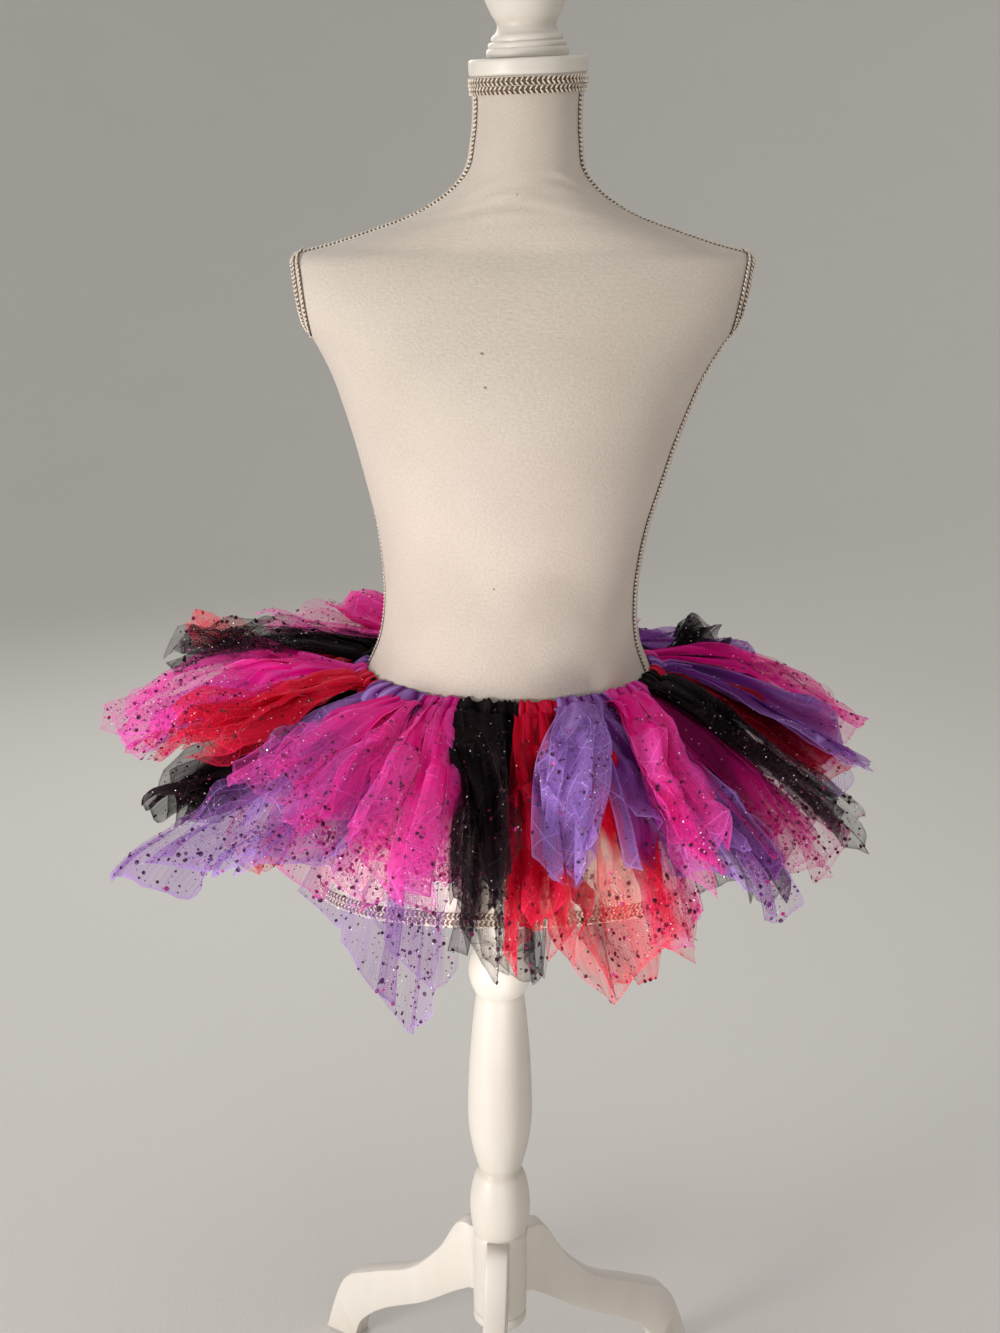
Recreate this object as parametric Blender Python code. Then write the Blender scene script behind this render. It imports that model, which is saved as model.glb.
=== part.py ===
# A tulle-strip tutu resting on a limbless dress form with a turned tripod stand.
# Metres, +Z up. The front faces -Y and the floor is z = 0.
# Every table below is measured from the axis of the stand; the root empty moves that axis so that
# the origin lies at the middle of the part's box.

import math
from collections import namedtuple

import bpy

STAND_AXIS = (0.0110, -0.0035, 0.0)  # the stand's axis, seen from the part's origin
CLEARANCE = 0.0003  # between pieces that rest on each other

# Dress form
FORM_LEAN = 0.030  # sideways shift of the form for each metre above LEAN_FROM
LEAN_FROM = 0.50
FORM_SIDES = 28
NECK_TILT = math.radians(2.5)  # the neck's top and what stands on it rise towards +X
NECK_BASE = 1.214
NECK_TOP = 1.295
ARMHOLE_TOP = 1.145  # height of the shoulder tip
ARMHOLE_BOTTOM = 1.060
ARMHOLE_REACH = 0.1945  # from the form's middle to the armhole plate, at the shoulder tip
ARMHOLE_SLOPE = 0.19  # how far the plate leans in, for each metre down

# height, half width, depth to the front, depth to the back, squareness of the section
FORM_SECTIONS = (
    (0.558, 0.1670, 0.0870, 0.1080, 2.2),
    (0.564, 0.1695, 0.0895, 0.1110, 2.2),
    (0.600, 0.1705, 0.0920, 0.1140, 2.2),
    (0.640, 0.1695, 0.0940, 0.1160, 2.2),
    (0.680, 0.1650, 0.0960, 0.1160, 2.1),
    (0.715, 0.1565, 0.0970, 0.1135, 2.0),
    (0.745, 0.1455, 0.0965, 0.1080, 2.0),
    (0.765, 0.1355, 0.0955, 0.1030, 2.0),
    (0.785, 0.1260, 0.0940, 0.0980, 2.0),
    (0.805, 0.1180, 0.0920, 0.0940, 2.0),
    (0.825, 0.1145, 0.0900, 0.0915, 2.0),
    (0.850, 0.1135, 0.0885, 0.0905, 2.0),
    (0.880, 0.1160, 0.0890, 0.0915, 2.0),
    (0.916, 0.1220, 0.0945, 0.0935, 2.1),
    (0.961, 0.1340, 0.1090, 0.0955, 2.2),
    (0.996, 0.1440, 0.1205, 0.0970, 2.2),
    (1.023, 0.1530, 0.1240, 0.0980, 2.2),
    (1.048, 0.1625, 0.1210, 0.0980, 2.2),
    (1.070, 0.1740, 0.1130, 0.0970, 2.2),
    (1.092, 0.1880, 0.1010, 0.0945, 2.3),
    (1.115, 0.1980, 0.0880, 0.0900, 2.4),
    (1.135, 0.2010, 0.0745, 0.0815, 2.4),
    (1.149, 0.1950, 0.0630, 0.0690, 2.4),
    (1.156, 0.1690, 0.0580, 0.0630, 2.3),
    (1.166, 0.1380, 0.0545, 0.0595, 2.2),
    (1.178, 0.1040, 0.0520, 0.0570, 2.1),
    (1.192, 0.0770, 0.0500, 0.0550, 2.0),
    (1.214, 0.0545, 0.0480, 0.0530, 2.0),
    (1.245, 0.0475, 0.0465, 0.0510, 2.0),
    (1.270, 0.0465, 0.0465, 0.0505, 2.0),
    (1.295, 0.0490, 0.0485, 0.0515, 2.0),
)

# Turned wood: bottom, top, radius at the bottom, in the middle and at the top of each member
TURNING_SIDES = 18
TURNING_STEPS = 3
HUB_RADIUS = 0.0268
HUB_MEMBERS = (
    (0.0880, 0.0930, 0.0190, 0.0240, 0.0260),
    (0.0930, 0.1010, 0.0260, HUB_RADIUS, 0.0260),
    (0.1010, 0.1040, 0.0260, 0.0240, 0.0265),
    (0.1040, 0.1880, 0.0265, HUB_RADIUS, 0.0265),
    (0.1880, 0.1942, 0.0265, 0.0260, 0.0240),
)
POST_MEMBERS = (
    (0.1945, 0.2580, 0.0262, 0.0297, 0.0240),
    (0.2580, 0.2680, 0.0240, 0.0208, 0.0217),
    (0.2680, 0.3360, 0.0217, 0.0294, 0.0312),
    (0.3360, 0.4550, 0.0312, 0.0286, 0.0226),
    (0.4550, 0.5030, 0.0240, 0.0301, 0.0215),
    (0.5030, 0.5130, 0.0215, 0.0228, 0.0200),
    (0.5130, 0.5577, 0.0190, 0.0190, 0.0190),
)
CAP_MEMBERS = (
    (0.0000, 0.0020, 0.0480, 0.0495, 0.0500),
    (0.0020, 0.0118, 0.0500, 0.0500, 0.0500),
    (0.0118, 0.0138, 0.0500, 0.0495, 0.0480),
)
FINIAL_MEMBERS = (
    (0.0000, 0.0075, 0.0340, 0.0347, 0.0340),
    (0.0075, 0.0125, 0.0320, 0.0332, 0.0320),
    (0.0125, 0.0185, 0.0290, 0.0303, 0.0285),
    (0.0185, 0.0330, 0.0272, 0.0246, 0.0285),
    (0.0330, 0.0480, 0.0285, 0.0318, 0.0350),
    (0.0480, 0.0760, 0.0350, 0.0375, 0.0310),
    (0.0760, 0.0930, 0.0310, 0.0255, 0.0150),
    (0.0930, 0.1000, 0.0150, 0.0105, 0.0030),
)
CAP_HEIGHT = 0.0138

# Feet: distance from the axis and height along the top edge and the underside of the board
FOOT_THICKNESS = 0.022
FOOT_AZIMUTHS = {"foot_front": 266, "foot_right": 26, "foot_left": 146}
FOOT_ROOT = HUB_RADIUS + CLEARANCE
FOOT_TOP_EDGE = (
    (FOOT_ROOT, 0.192),
    (0.046, 0.189),
    (0.070, 0.150),
    (0.106, 0.114),
    (0.155, 0.091),
    (0.195, 0.066),
    (0.219, 0.000),
)
FOOT_UNDERSIDE = (
    (0.180, 0.000),
    (0.170, 0.025),
    (0.140, 0.051),
    (0.090, 0.078),
    (0.052, 0.105),
    (FOOT_ROOT, 0.121),
)
FOOT_CURVE_STEPS = 3

# Waistband: it sits level with the waist, a little higher at the back
BAND_HEIGHT = 0.775
BAND_RISE = 0.006  # at the back, and as much lower at the front
BAND_HALF_WIDTH = 0.006
BAND_OFFSET = 0.0008  # from the form
BAND_THICKNESS = 0.0022
BAND_SIDES = 48

# The skirt's surface leaves the band and droops. azimuth, droop at the band and at DROOP_RUN
DROOP_RUN = 0.25
DROOP_LIMIT = 1.3  # the droop goes on past DROOP_RUN, up to this share
DROOP_STEPS = 12  # of the sum that follows the drooping line
DROOPS = (
    (0, 8, 36),
    (45, 2, 26),
    (90, -4, 20),
    (135, -4, 18),
    (180, -2, 24),
    (225, 8, 42),
    (270, 20, 62),
    (315, 12, 50),
    (360, 8, 36),
)

# A strip: a knot over the band, then the two tails pressed into one wall that fans out
SIDE_MARGIN = math.radians(0.25)  # kept free on each side of a knot and of a tail
KNOT_LENGTH = 0.018
KNOT_PROFILE = (  # outwards from the band's outer face, underside and top of the knot
    (-0.0020, 0.0064, 0.0084),
    (0.0003, 0.0064, 0.0092),
    (0.0008, -0.0060, 0.0092),
    (0.0080, -0.0042, 0.0066),
)
WALL_HALF = 0.0008  # half the tail's wall
FAN_RUN = 0.13  # length over which a tail opens to its full width
FAN_EASE = 2  # how much sooner it opens near the knot
LAYER_START = 0.0075  # distance between two layers where the tails leave the knots
LAYER_GROWTH = 0.13  # how much it grows along the tail
WAVE_START = 0.0015  # height of the waves where the tails leave the knots
WAVE_GROWTH = 0.046
TAIL_COLUMNS = 7
TAIL_ROWS = 4
ROW_CROWDING = 1.15  # draws the rows of a tail towards its knot
LAYERS = {"upper": 1, "middle": 0, "lower": -1}

# Around the band from +X by way of the back. Azimuths and spread in degrees, lengths in metres.
# cut: share of the length lost over the tail's width, away from the peak, its longest place
# lift: how far the tail's end stands up from its layer
Strip = namedtuple("Strip", "colour layer knot tip spread length cut peak waves phase lift")
STRIPS = (
    Strip("purple", "upper", -1, -12, 10, 0.205, 0.20, 0.6, 1.5, 0.10, 0.000),
    Strip("purple", "lower", 7, 4, 12, 0.215, 0.25, 0.3, 1.8, 0.55, 0.000),
    Strip("pink", "middle", 15, 7, 14, 0.215, 0.22, 0.8, 2.0, 0.30, 0.000),
    Strip("black", "upper", 25, 30, 12, 0.150, 0.30, 0.5, 1.7, 0.85, 0.006),
    Strip("red", "lower", 34, 31, 13, 0.200, 0.20, 0.5, 1.9, 0.20, 0.000),
    Strip("purple", "middle", 43, 37, 14, 0.210, 0.24, 0.2, 1.8, 0.65, 0.000),
    Strip("pink", "upper", 53, 58, 14, 0.190, 0.22, 0.6, 2.0, 0.40, 0.000),
    Strip("pink", "lower", 62, 59, 13, 0.200, 0.26, 0.8, 1.7, 0.05, 0.000),
    Strip("black", "middle", 71, 67, 14, 0.200, 0.20, 0.5, 2.0, 0.75, 0.000),
    Strip("red", "upper", 81, 89, 15, 0.185, 0.24, 0.3, 1.8, 0.15, 0.000),
    Strip("purple", "lower", 90, 88, 14, 0.205, 0.22, 0.4, 2.0, 0.50, 0.000),
    Strip("pink", "middle", 99, 98, 15, 0.210, 0.26, 0.7, 1.9, 0.90, 0.000),
    Strip("pink", "upper", 109, 120, 13, 0.165, 0.22, 0.6, 1.7, 0.25, 0.000),
    Strip("red", "lower", 118, 117, 13, 0.200, 0.20, 0.2, 1.8, 0.60, 0.000),
    Strip("pink", "middle", 127, 127, 12, 0.235, 0.25, 0.7, 2.0, 0.35, 0.006),
    Strip("black", "lower", 137, 144, 13, 0.205, 0.22, 0.7, 1.9, 0.80, 0.000),
    Strip("red", "middle", 147, 147, 7, 0.250, 0.30, 0.5, 1.5, 0.10, 0.020),
    Strip("black", "upper", 163, 167, 13, 0.190, 0.25, 0.6, 2.0, 0.45, 0.004),
    Strip("purple", "lower", 175, 176, 14, 0.220, 0.22, 0.6, 1.8, 0.70, 0.000),
    Strip("pink", "middle", 186, 183, 15, 0.250, 0.28, 0.4, 2.0, 0.20, 0.000),
    Strip("red", "upper", 196, 202, 14, 0.205, 0.20, 0.6, 1.8, 0.95, 0.000),
    Strip("black", "lower", 205, 203, 8, 0.240, 0.30, 0.4, 1.5, 0.30, 0.000),
    Strip("red", "lower", 214, 221, 9, 0.240, 0.24, 0.5, 1.6, 0.65, 0.000),
    Strip("purple", "middle", 223, 213, 13, 0.300, 0.66, 0.5, 2.0, 0.05, 0.000),
    Strip("pink", "upper", 232, 230, 14, 0.215, 0.24, 0.5, 2.0, 0.55, 0.000),
    Strip("pink", "middle", 240, 244, 15, 0.225, 0.20, 0.4, 2.0, 0.85, 0.000),
    Strip("pink", "upper", 248, 253, 8, 0.200, 0.16, 0.7, 1.5, 0.15, 0.000),
    Strip("purple", "lower", 255, 248, 12, 0.310, 0.40, 0.8, 1.6, 0.40, 0.000),
    Strip("black", "upper", 263, 269, 7, 0.215, 0.14, 0.5, 1.5, 0.75, 0.000),
    Strip("black", "lower", 270, 270, 8, 0.255, 0.20, 0.8, 1.5, 0.25, 0.000),
    Strip("red", "middle", 277, 272, 10, 0.235, 0.24, 0.4, 1.8, 0.60, 0.000),
    Strip("red", "lower", 284, 288, 8, 0.285, 0.30, 0.6, 1.5, 0.90, 0.000),
    Strip("purple", "upper", 291, 283, 7, 0.165, 0.18, 0.5, 1.5, 0.35, 0.000),
    Strip("pink", "lower", 298, 301, 5, 0.250, 0.22, 0.5, 1.2, 0.70, 0.000),
    Strip("purple", "middle", 305, 300, 16, 0.255, 0.22, 0.7, 2.0, 0.10, 0.000),
    Strip("pink", "upper", 312, 305, 14, 0.210, 0.20, 0.6, 2.0, 0.50, 0.000),
    Strip("black", "lower", 320, 316, 9, 0.240, 0.24, 0.7, 1.5, 0.80, 0.000),
    Strip("pink", "middle", 328, 324, 7, 0.225, 0.24, 0.3, 1.6, 0.20, 0.000),
    Strip("pink", "lower", 335, 338, 12, 0.245, 0.22, 0.6, 1.9, 0.60, 0.000),
    Strip("black", "upper", 343, 329, 8, 0.235, 0.20, 0.5, 1.5, 0.95, 0.000),
    Strip("red", "middle", 351, 341, 9, 0.215, 0.22, 0.5, 1.8, 0.30, 0.000),
)

LOOKS = {  # colour, roughness
    "cover_cloth": ((0.80, 0.74, 0.66), 0.9),
    "white_paint": ((0.86, 0.84, 0.80), 0.4),
    "elastic": ((0.02, 0.02, 0.02), 0.8),
    "tulle_pink": ((0.85, 0.02, 0.33), 0.7),
    "tulle_purple": ((0.22, 0.08, 0.62), 0.7),
    "tulle_red": ((0.78, 0.02, 0.03), 0.7),
    "tulle_black": ((0.015, 0.012, 0.015), 0.7),
}


def between(start, end, share):
    return start + (end - start) * share


def ease(share):
    share = min(max(share, 0.0), 1.0)
    return share * share * (3 - 2 * share)


# The row of a table, found by its first column, with the values between two rows in proportion
def read_table(table, value, easing=False):
    value = min(max(value, table[0][0]), table[-1][0])
    for low, high in zip(table, table[1:]):
        if value <= high[0]:
            share = (value - low[0]) / (high[0] - low[0])
            share = ease(share) if easing else share
            return [between(a, b, share) for a, b in zip(low, high)]
    return list(table[-1])


def clear_scene():
    for old in list(bpy.data.objects):
        bpy.data.objects.remove(old, do_unlink=True)


def make_materials():
    for name, (colour, roughness) in LOOKS.items():
        material = bpy.data.materials.new(name)
        material.use_nodes = True
        surface = material.node_tree.nodes["Principled BSDF"]
        surface.inputs["Base Color"].default_value = (*colour, 1.0)
        surface.inputs["Roughness"].default_value = roughness
        surface.inputs["Metallic"].default_value = 0.0
        material.diffuse_color = (*colour, 1.0)


def add_piece(name, look, points, faces, parent, sharp=35):
    mesh = bpy.data.meshes.new(name)
    mesh.from_pydata(points, [], faces)
    mesh.materials.append(bpy.data.materials[look])
    mesh.shade_smooth()
    mesh.set_sharp_from_angle(angle=math.radians(sharp))
    piece = bpy.data.objects.new(name, mesh)
    piece.parent = parent
    bpy.context.collection.objects.link(piece)
    return piece


# A body through rings that run anticlockwise, from the lowest to the highest
def loft(rings, capped=True):
    sides = len(rings[0])
    points = [point for ring in rings for point in ring]
    faces = []
    for level in range(len(rings) - 1):
        start = level * sides
        for side in range(sides):
            after = (side + 1) % sides
            faces.append((start + side, start + after, start + sides + after, start + sides + side))
    if capped:
        last = len(points) - sides
        faces.append(tuple(reversed(range(sides))))
        faces.append(tuple(range(last, last + sides)))
    return points, faces


def turned_rings(members):
    profile = []
    for bottom, top, low, middle, high in members:
        straight = low == middle == high
        for step in range(2 if straight else TURNING_STEPS + 1):
            share = step / (1 if straight else TURNING_STEPS)
            bulge = 4 * share * (1 - share) * (middle - (low + high) / 2)
            place = (between(low, high, share) + bulge, between(bottom, top, share))
            if not profile or math.dist(place, profile[-1]) > CLEARANCE:
                profile.append(place)
    rings = []
    for radius, height in profile:
        turns = [2 * math.pi * side / TURNING_SIDES for side in range(TURNING_SIDES)]
        rings.append([(radius * math.cos(turn), radius * math.sin(turn), height) for turn in turns])
    return rings


def form_middle(height):
    return (height - LEAN_FROM) * FORM_LEAN


# A point on the form's section at a height, or a little outside it
def form_point(azimuth, height, outside=0.0):
    _, width, front, back, squareness = read_table(FORM_SECTIONS, height)
    across, along = math.cos(azimuth), math.sin(azimuth)
    depth = front if along < 0 else back
    power = 2 / squareness
    x = math.copysign(abs(across) ** power, across) * (width + outside)
    y = math.copysign(abs(along) ** power, along) * (depth + outside)
    if height > ARMHOLE_BOTTOM:
        reach = ARMHOLE_REACH - max(ARMHOLE_TOP - height, 0) * ARMHOLE_SLOPE
        x = min(max(x, -reach), reach)
    return x + form_middle(height), y


def add_form(root):
    rings = []
    for height, *_ in FORM_SECTIONS:
        tilt = math.tan(NECK_TILT) * ease((height - NECK_BASE) / (NECK_TOP - NECK_BASE))
        ring = []
        for side in range(FORM_SIDES):
            x, y = form_point(2 * math.pi * side / FORM_SIDES, height)
            ring.append((x, y, height + (x - form_middle(height)) * tilt))
        rings.append(ring)
    add_piece("form_torso", "cover_cloth", *loft(rings), root, sharp=50)


def add_turnings(root):
    hub = add_piece("stand_hub", "white_paint", *loft(turned_rings(HUB_MEMBERS)), root)
    # One corner of the hub's section faces each foot
    hub.rotation_euler = (0, 0, math.radians(FOOT_AZIMUTHS["foot_right"]))
    add_piece("stand_post", "white_paint", *loft(turned_rings(POST_MEMBERS)), root)
    cap = add_piece("neck_cap", "white_paint", *loft(turned_rings(CAP_MEMBERS)), root)
    finial = add_piece("neck_finial", "white_paint", *loft(turned_rings(FINIAL_MEMBERS)), root)
    for piece, rise in ((cap, CLEARANCE), (finial, CAP_HEIGHT + 2 * CLEARANCE)):
        lean = rise * math.sin(-NECK_TILT)
        piece.location = (form_middle(NECK_TOP) + lean, 0, NECK_TOP + rise * math.cos(NECK_TILT))
        piece.rotation_euler = (0, -NECK_TILT, 0)


# A smooth curve through the points, with the given steps from each to the next
def curve_through(points, steps):
    ends = [points[0], *points, points[-1]]
    curve = []
    for before, start, end, after in zip(ends, ends[1:], ends[2:], ends[3:]):
        for step in range(steps):
            t = step / steps
            curve.append(
                tuple(
                    b + 0.5 * t * (c - a + t * (2 * a - 5 * b + 4 * c - d + t * (3 * (b - c) + d - a)))
                    for a, b, c, d in zip(before, start, end, after)
                )
            )
    return [*curve, points[-1]]


def add_feet(root):
    top = curve_through(FOOT_TOP_EDGE, FOOT_CURVE_STEPS)
    underside = curve_through(FOOT_UNDERSIDE, FOOT_CURVE_STEPS)
    outline = [*top, *underside]
    half = FOOT_THICKNESS / 2
    rings = [[(rho, side, height) for rho, height in outline] for side in (-half, half)]
    for name, azimuth in FOOT_AZIMUTHS.items():
        foot = add_piece(name, "white_paint", *loft(rings), root)
        foot.rotation_euler = (0, 0, math.radians(azimuth))


def band_middle(azimuth):
    return BAND_HEIGHT + BAND_RISE * math.sin(azimuth)


def add_waistband(root):
    inner, outer = BAND_OFFSET, BAND_OFFSET + BAND_THICKNESS
    corners = ((inner, -1), (outer, -1), (outer, 1), (inner, 1))
    points = []
    for side in range(BAND_SIDES):
        azimuth = 2 * math.pi * side / BAND_SIDES
        for outside, edge in corners:
            height = band_middle(azimuth) + edge * BAND_HALF_WIDTH
            points.append((*form_point(azimuth, height, outside), height))
    faces = []
    for side in range(BAND_SIDES):
        start, after = 4 * side, 4 * ((side + 1) % BAND_SIDES)
        for corner in range(4):
            following = (corner + 1) % 4
            faces.append((start + corner, after + corner, after + following, start + following))
    add_piece("waistband", "elastic", points, faces, root)


# A point of the skirt: out along its drooping surface from the band's outer face, then up from it
def skirt_point(azimuth, out, up):
    _, first, last = read_table(DROOPS, math.degrees(azimuth) % 360, easing=True)
    first, last = math.radians(first), math.radians(last)
    reach = fall = 0.0
    for step in range(DROOP_STEPS):
        passed = (step + 0.5) / DROOP_STEPS * max(out, 0.0)
        droop = between(first, last, min(passed / DROOP_RUN, DROOP_LIMIT))
        reach += math.cos(droop) * out / DROOP_STEPS
        fall += math.sin(droop) * out / DROOP_STEPS
    droop = between(first, last, min(max(out, 0.0) / DROOP_RUN, DROOP_LIMIT))
    # Within the knot, up follows the form's side; further out it is square to the skirt
    freed = ease(out / (2 * KNOT_LENGTH))
    middle = band_middle(azimuth)
    height = middle - fall + between(1, math.cos(droop), freed) * up
    root_height = between(height, middle, freed)
    x, y = form_point(azimuth, root_height, BAND_OFFSET + BAND_THICKNESS)
    _, width, front, back, _ = read_table(FORM_SECTIONS, root_height)
    depth = front if math.sin(azimuth) < 0 else back
    facing = math.atan2(math.sin(azimuth) / depth, math.cos(azimuth) / width)
    turn = math.atan2(math.sin(facing) + math.sin(azimuth), math.cos(facing) + math.cos(azimuth))
    reach += math.sin(droop) * up * freed
    return x + math.cos(turn) * reach, y + math.sin(turn) * reach, height


# The azimuths between which a strip's knot lies, halfway to the knots on its two sides
def knot_sides(number):
    knots = [strip.knot for strip in STRIPS]
    around = [knots[-1] - 360, *knots, knots[0] + 360]
    before, own, after = around[number : number + 3]
    return math.radians((before + own) / 2), math.radians((own + after) / 2)


# The places of one strip: rows of (underside, top) pairs, from the knot's back to the tail's end
def strip_rows(strip, knot_edges):
    level = LAYERS[strip.layer]
    tip_edges = (math.radians(strip.tip - strip.spread), math.radians(strip.tip + strip.spread))
    shares = [column / TAIL_COLUMNS for column in range(TAIL_COLUMNS + 1)]

    def pair(across, fan, out, low, high):
        left, right = (between(knot, tip, fan) for knot, tip in zip(knot_edges, tip_edges))
        azimuth = between(left + SIDE_MARGIN, right - SIDE_MARGIN, across)
        return skirt_point(azimuth, out, low), skirt_point(azimuth, out, high)

    rows = []
    for out, low, high in KNOT_PROFILE:
        settle = level * LAYER_START * ease(out / KNOT_LENGTH)
        rows.append([pair(across, 0.0, out, low + settle, high + settle) for across in shares])
    for step in range(TAIL_ROWS + 1):
        row = []
        for across in shares:
            end = strip.length * (1 - strip.cut * abs(across - strip.peak))
            out = between(KNOT_LENGTH, end, (step / TAIL_ROWS) ** ROW_CROWDING)
            passed = out - KNOT_LENGTH
            fan = 1 - (1 - min(passed / FAN_RUN, 1.0)) ** FAN_EASE
            wave = math.sin(2 * math.pi * (strip.waves * across + strip.phase))
            up = level * (LAYER_START + LAYER_GROWTH * passed)
            up += (WAVE_START + WAVE_GROWTH * passed) * wave
            up += strip.lift * (out / strip.length) ** 2
            row.append(pair(across, fan, out, up - WALL_HALF, up + WALL_HALF))
        rows.append(row)
    return rows


def add_strips(root):
    for number, strip in enumerate(STRIPS):
        rows = strip_rows(strip, knot_sides(number))
        rings = [[low for low, _ in row] + [high for _, high in reversed(row)] for row in rows]
        points, faces = loft(rings, capped=False)
        around = len(rings[0])
        end = len(points) - around
        for low in range(TAIL_COLUMNS):
            high = around - 1 - low
            faces.append((high, high - 1, low + 1, low))
            faces.append((end + low, end + low + 1, end + high - 1, end + high))
        name = f"strip_{number + 1:02d}_{strip.colour}"
        add_piece(name, f"tulle_{strip.colour}", points, faces, root, sharp=70)


def build():
    clear_scene()
    make_materials()
    root = bpy.data.objects.new("tutu_on_form", None)
    root.location = STAND_AXIS
    bpy.context.collection.objects.link(root)
    add_form(root)
    add_turnings(root)
    add_feet(root)
    add_waistband(root)
    add_strips(root)


build()
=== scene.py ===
import math

import bpy
import numpy as np
from mathutils import Matrix, Vector


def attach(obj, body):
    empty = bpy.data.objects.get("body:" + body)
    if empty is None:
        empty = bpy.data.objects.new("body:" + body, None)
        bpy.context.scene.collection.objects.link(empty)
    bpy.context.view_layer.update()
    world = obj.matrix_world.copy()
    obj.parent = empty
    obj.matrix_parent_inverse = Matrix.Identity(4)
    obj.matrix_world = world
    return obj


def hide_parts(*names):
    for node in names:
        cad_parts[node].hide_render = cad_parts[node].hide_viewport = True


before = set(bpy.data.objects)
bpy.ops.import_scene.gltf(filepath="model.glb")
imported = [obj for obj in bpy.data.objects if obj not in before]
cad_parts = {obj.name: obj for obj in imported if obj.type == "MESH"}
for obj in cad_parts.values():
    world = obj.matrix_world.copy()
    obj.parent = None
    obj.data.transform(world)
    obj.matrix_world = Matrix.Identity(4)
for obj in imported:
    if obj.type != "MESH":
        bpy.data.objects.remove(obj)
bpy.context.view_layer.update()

# Everything below is measured from the stand's axis, in metres, with the front facing -Y
standAxis = np.array((0.0110, -0.0035, 0.0))


# Maths that several pieces share

def between(start, end, share):
    return start + (end - start) * share


def ease(share):
    share = np.clip(share, 0.0, 1.0)
    return share * share * (3 - 2 * share)


def bell(distance, width):
    return np.exp(-((distance / width) ** 2))


# One column of a table, found by its first column; with soft=True each step between rows is eased
def lookUp(table, value, column, soft=False):
    if not soft:
        return np.interp(value, table[:, 0], table[:, column])
    row = np.clip(np.searchsorted(table[:, 0], value, side="right") - 1, 0, len(table) - 2)
    share = ease((value - table[row, 0]) / (table[row + 1, 0] - table[row, 0]))
    return between(table[row, column], table[row + 1, column], share)


# A curve without corners through a table's rows
def lookUpCurved(table, value, column):
    x, y = table[:, 0], table[:, column]
    rise = np.diff(y) / np.diff(x)
    slope = np.concatenate(([rise[0]], (rise[:-1] + rise[1:]) / 2, [rise[-1]]))
    turning = np.concatenate(([False], rise[:-1] * rise[1:] <= 0, [False]))
    slope = np.where(turning, slope * 0.3, slope)
    row = np.clip(np.searchsorted(x, value, side="right") - 1, 0, len(x) - 2)
    step = x[row + 1] - x[row]
    t = np.clip((value - x[row]) / step, 0, 1)
    return (
        (2 * t**3 - 3 * t**2 + 1) * y[row]
        + (t**3 - 2 * t**2 + t) * step * slope[row]
        + (3 * t**2 - 2 * t**3) * y[row + 1]
        + (t**3 - t**2) * step * slope[row + 1]
    )


# Node trees

def mathNode(operation):
    return lambda self, *others: self.math(operation, self, *others)


class Flow:
    # A socket; arithmetic on it adds Math nodes
    def __init__(self, maker, socket):
        self.maker, self.socket = maker, socket

    def math(self, operation, *values, clamped=False):
        settings = {"operation": operation, "use_clamp": clamped}
        return self.maker.node("ShaderNodeMath", settings, dict(enumerate(values)))

    __add__ = __radd__ = mathNode("ADD")
    __mul__ = __rmul__ = mathNode("MULTIPLY")
    __sub__ = mathNode("SUBTRACT")
    __pow__ = mathNode("POWER")
    __gt__ = mathNode("GREATER_THAN")
    most = mathNode("MAXIMUM")
    size = mathNode("ABSOLUTE")
    fraction = mathNode("FRACT")
    sine = mathNode("SINE")
    cosine = mathNode("COSINE")

    def __rsub__(self, other):
        return self.math("SUBTRACT", other, self)

    def step(self, start, end):
        # 0 below start, 1 above end, eased between
        sockets = {0: self, 1: start, 2: end, 3: 0.0, 4: 1.0}
        return self.maker.node("ShaderNodeMapRange", {"interpolation_type": "SMOOTHSTEP"}, sockets)

    def limited(self):
        return self.math("ADD", self, 0.0, clamped=True)


class NodeMaker:
    def __init__(self, tree):
        self.tree = tree

    # A node of a kind: its settings first, then the values or links of its sockets
    def node(self, kind, settings=None, sockets=None, output=0):
        made = self.tree.nodes.new(kind)
        for name, value in (settings or {}).items():
            setattr(made, name, value)
        for name, value in (sockets or {}).items():
            if isinstance(value, Flow):
                self.tree.links.new(value.socket, made.inputs[name])
            else:
                made.inputs[name].default_value = value
        return Flow(self, made.outputs[output])


class Finish(NodeMaker):
    def __init__(self, name):
        self.material = bpy.data.materials.new(name)
        self.material.use_nodes = True
        super().__init__(self.material.node_tree)
        self.tree.nodes.clear()

    def attribute(self, name):
        return self.node("ShaderNodeAttribute", {"attribute_name": name}, output=2)

    def cloth(self):
        return self.node("ShaderNodeUVMap", {"uv_map": "cloth"})

    def objectPlace(self):
        return self.node("ShaderNodeTexCoord", output=3)

    def parts(self, vector):
        return [self.node("ShaderNodeSeparateXYZ", {}, {0: vector}, output=axis) for axis in (0, 1, 2)]

    def stretched(self, vector, scale):
        return self.node("ShaderNodeMapping", {}, {"Vector": vector, "Scale": scale})

    def noise(self, place, scale, detail=2.0, roughness=0.5, flat=False):
        settings = {"noise_dimensions": "2D" if flat else "3D"}
        values = {"Vector": place, "Scale": scale, "Detail": detail, "Roughness": roughness}
        return self.node("ShaderNodeTexNoise", settings, values)

    def blend(self, share, first, second):
        return self.node("ShaderNodeMix", {"data_type": "RGBA"}, {0: share, 6: first, 7: second}, output=2)

    def bump(self, height, distance, strength):
        return self.node("ShaderNodeBump", {}, {"Height": height, "Distance": distance, "Strength": strength})

    def surface(self, colour, roughness, normal=None, **constants):
        values = {"Base Color": colour, "Roughness": roughness}
        if normal:
            values["Normal"] = normal
        values.update({name.replace("_", " "): value for name, value in constants.items()})
        return self.node("ShaderNodeBsdfPrincipled", {}, values)

    def done(self, shader):
        output = self.tree.nodes.new("ShaderNodeOutputMaterial")
        self.tree.links.new(shader.socket, output.inputs["Surface"])
        return self.material


def colour(red, green, blue):
    return (red, green, blue, 1.0)


# Meshes

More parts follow.
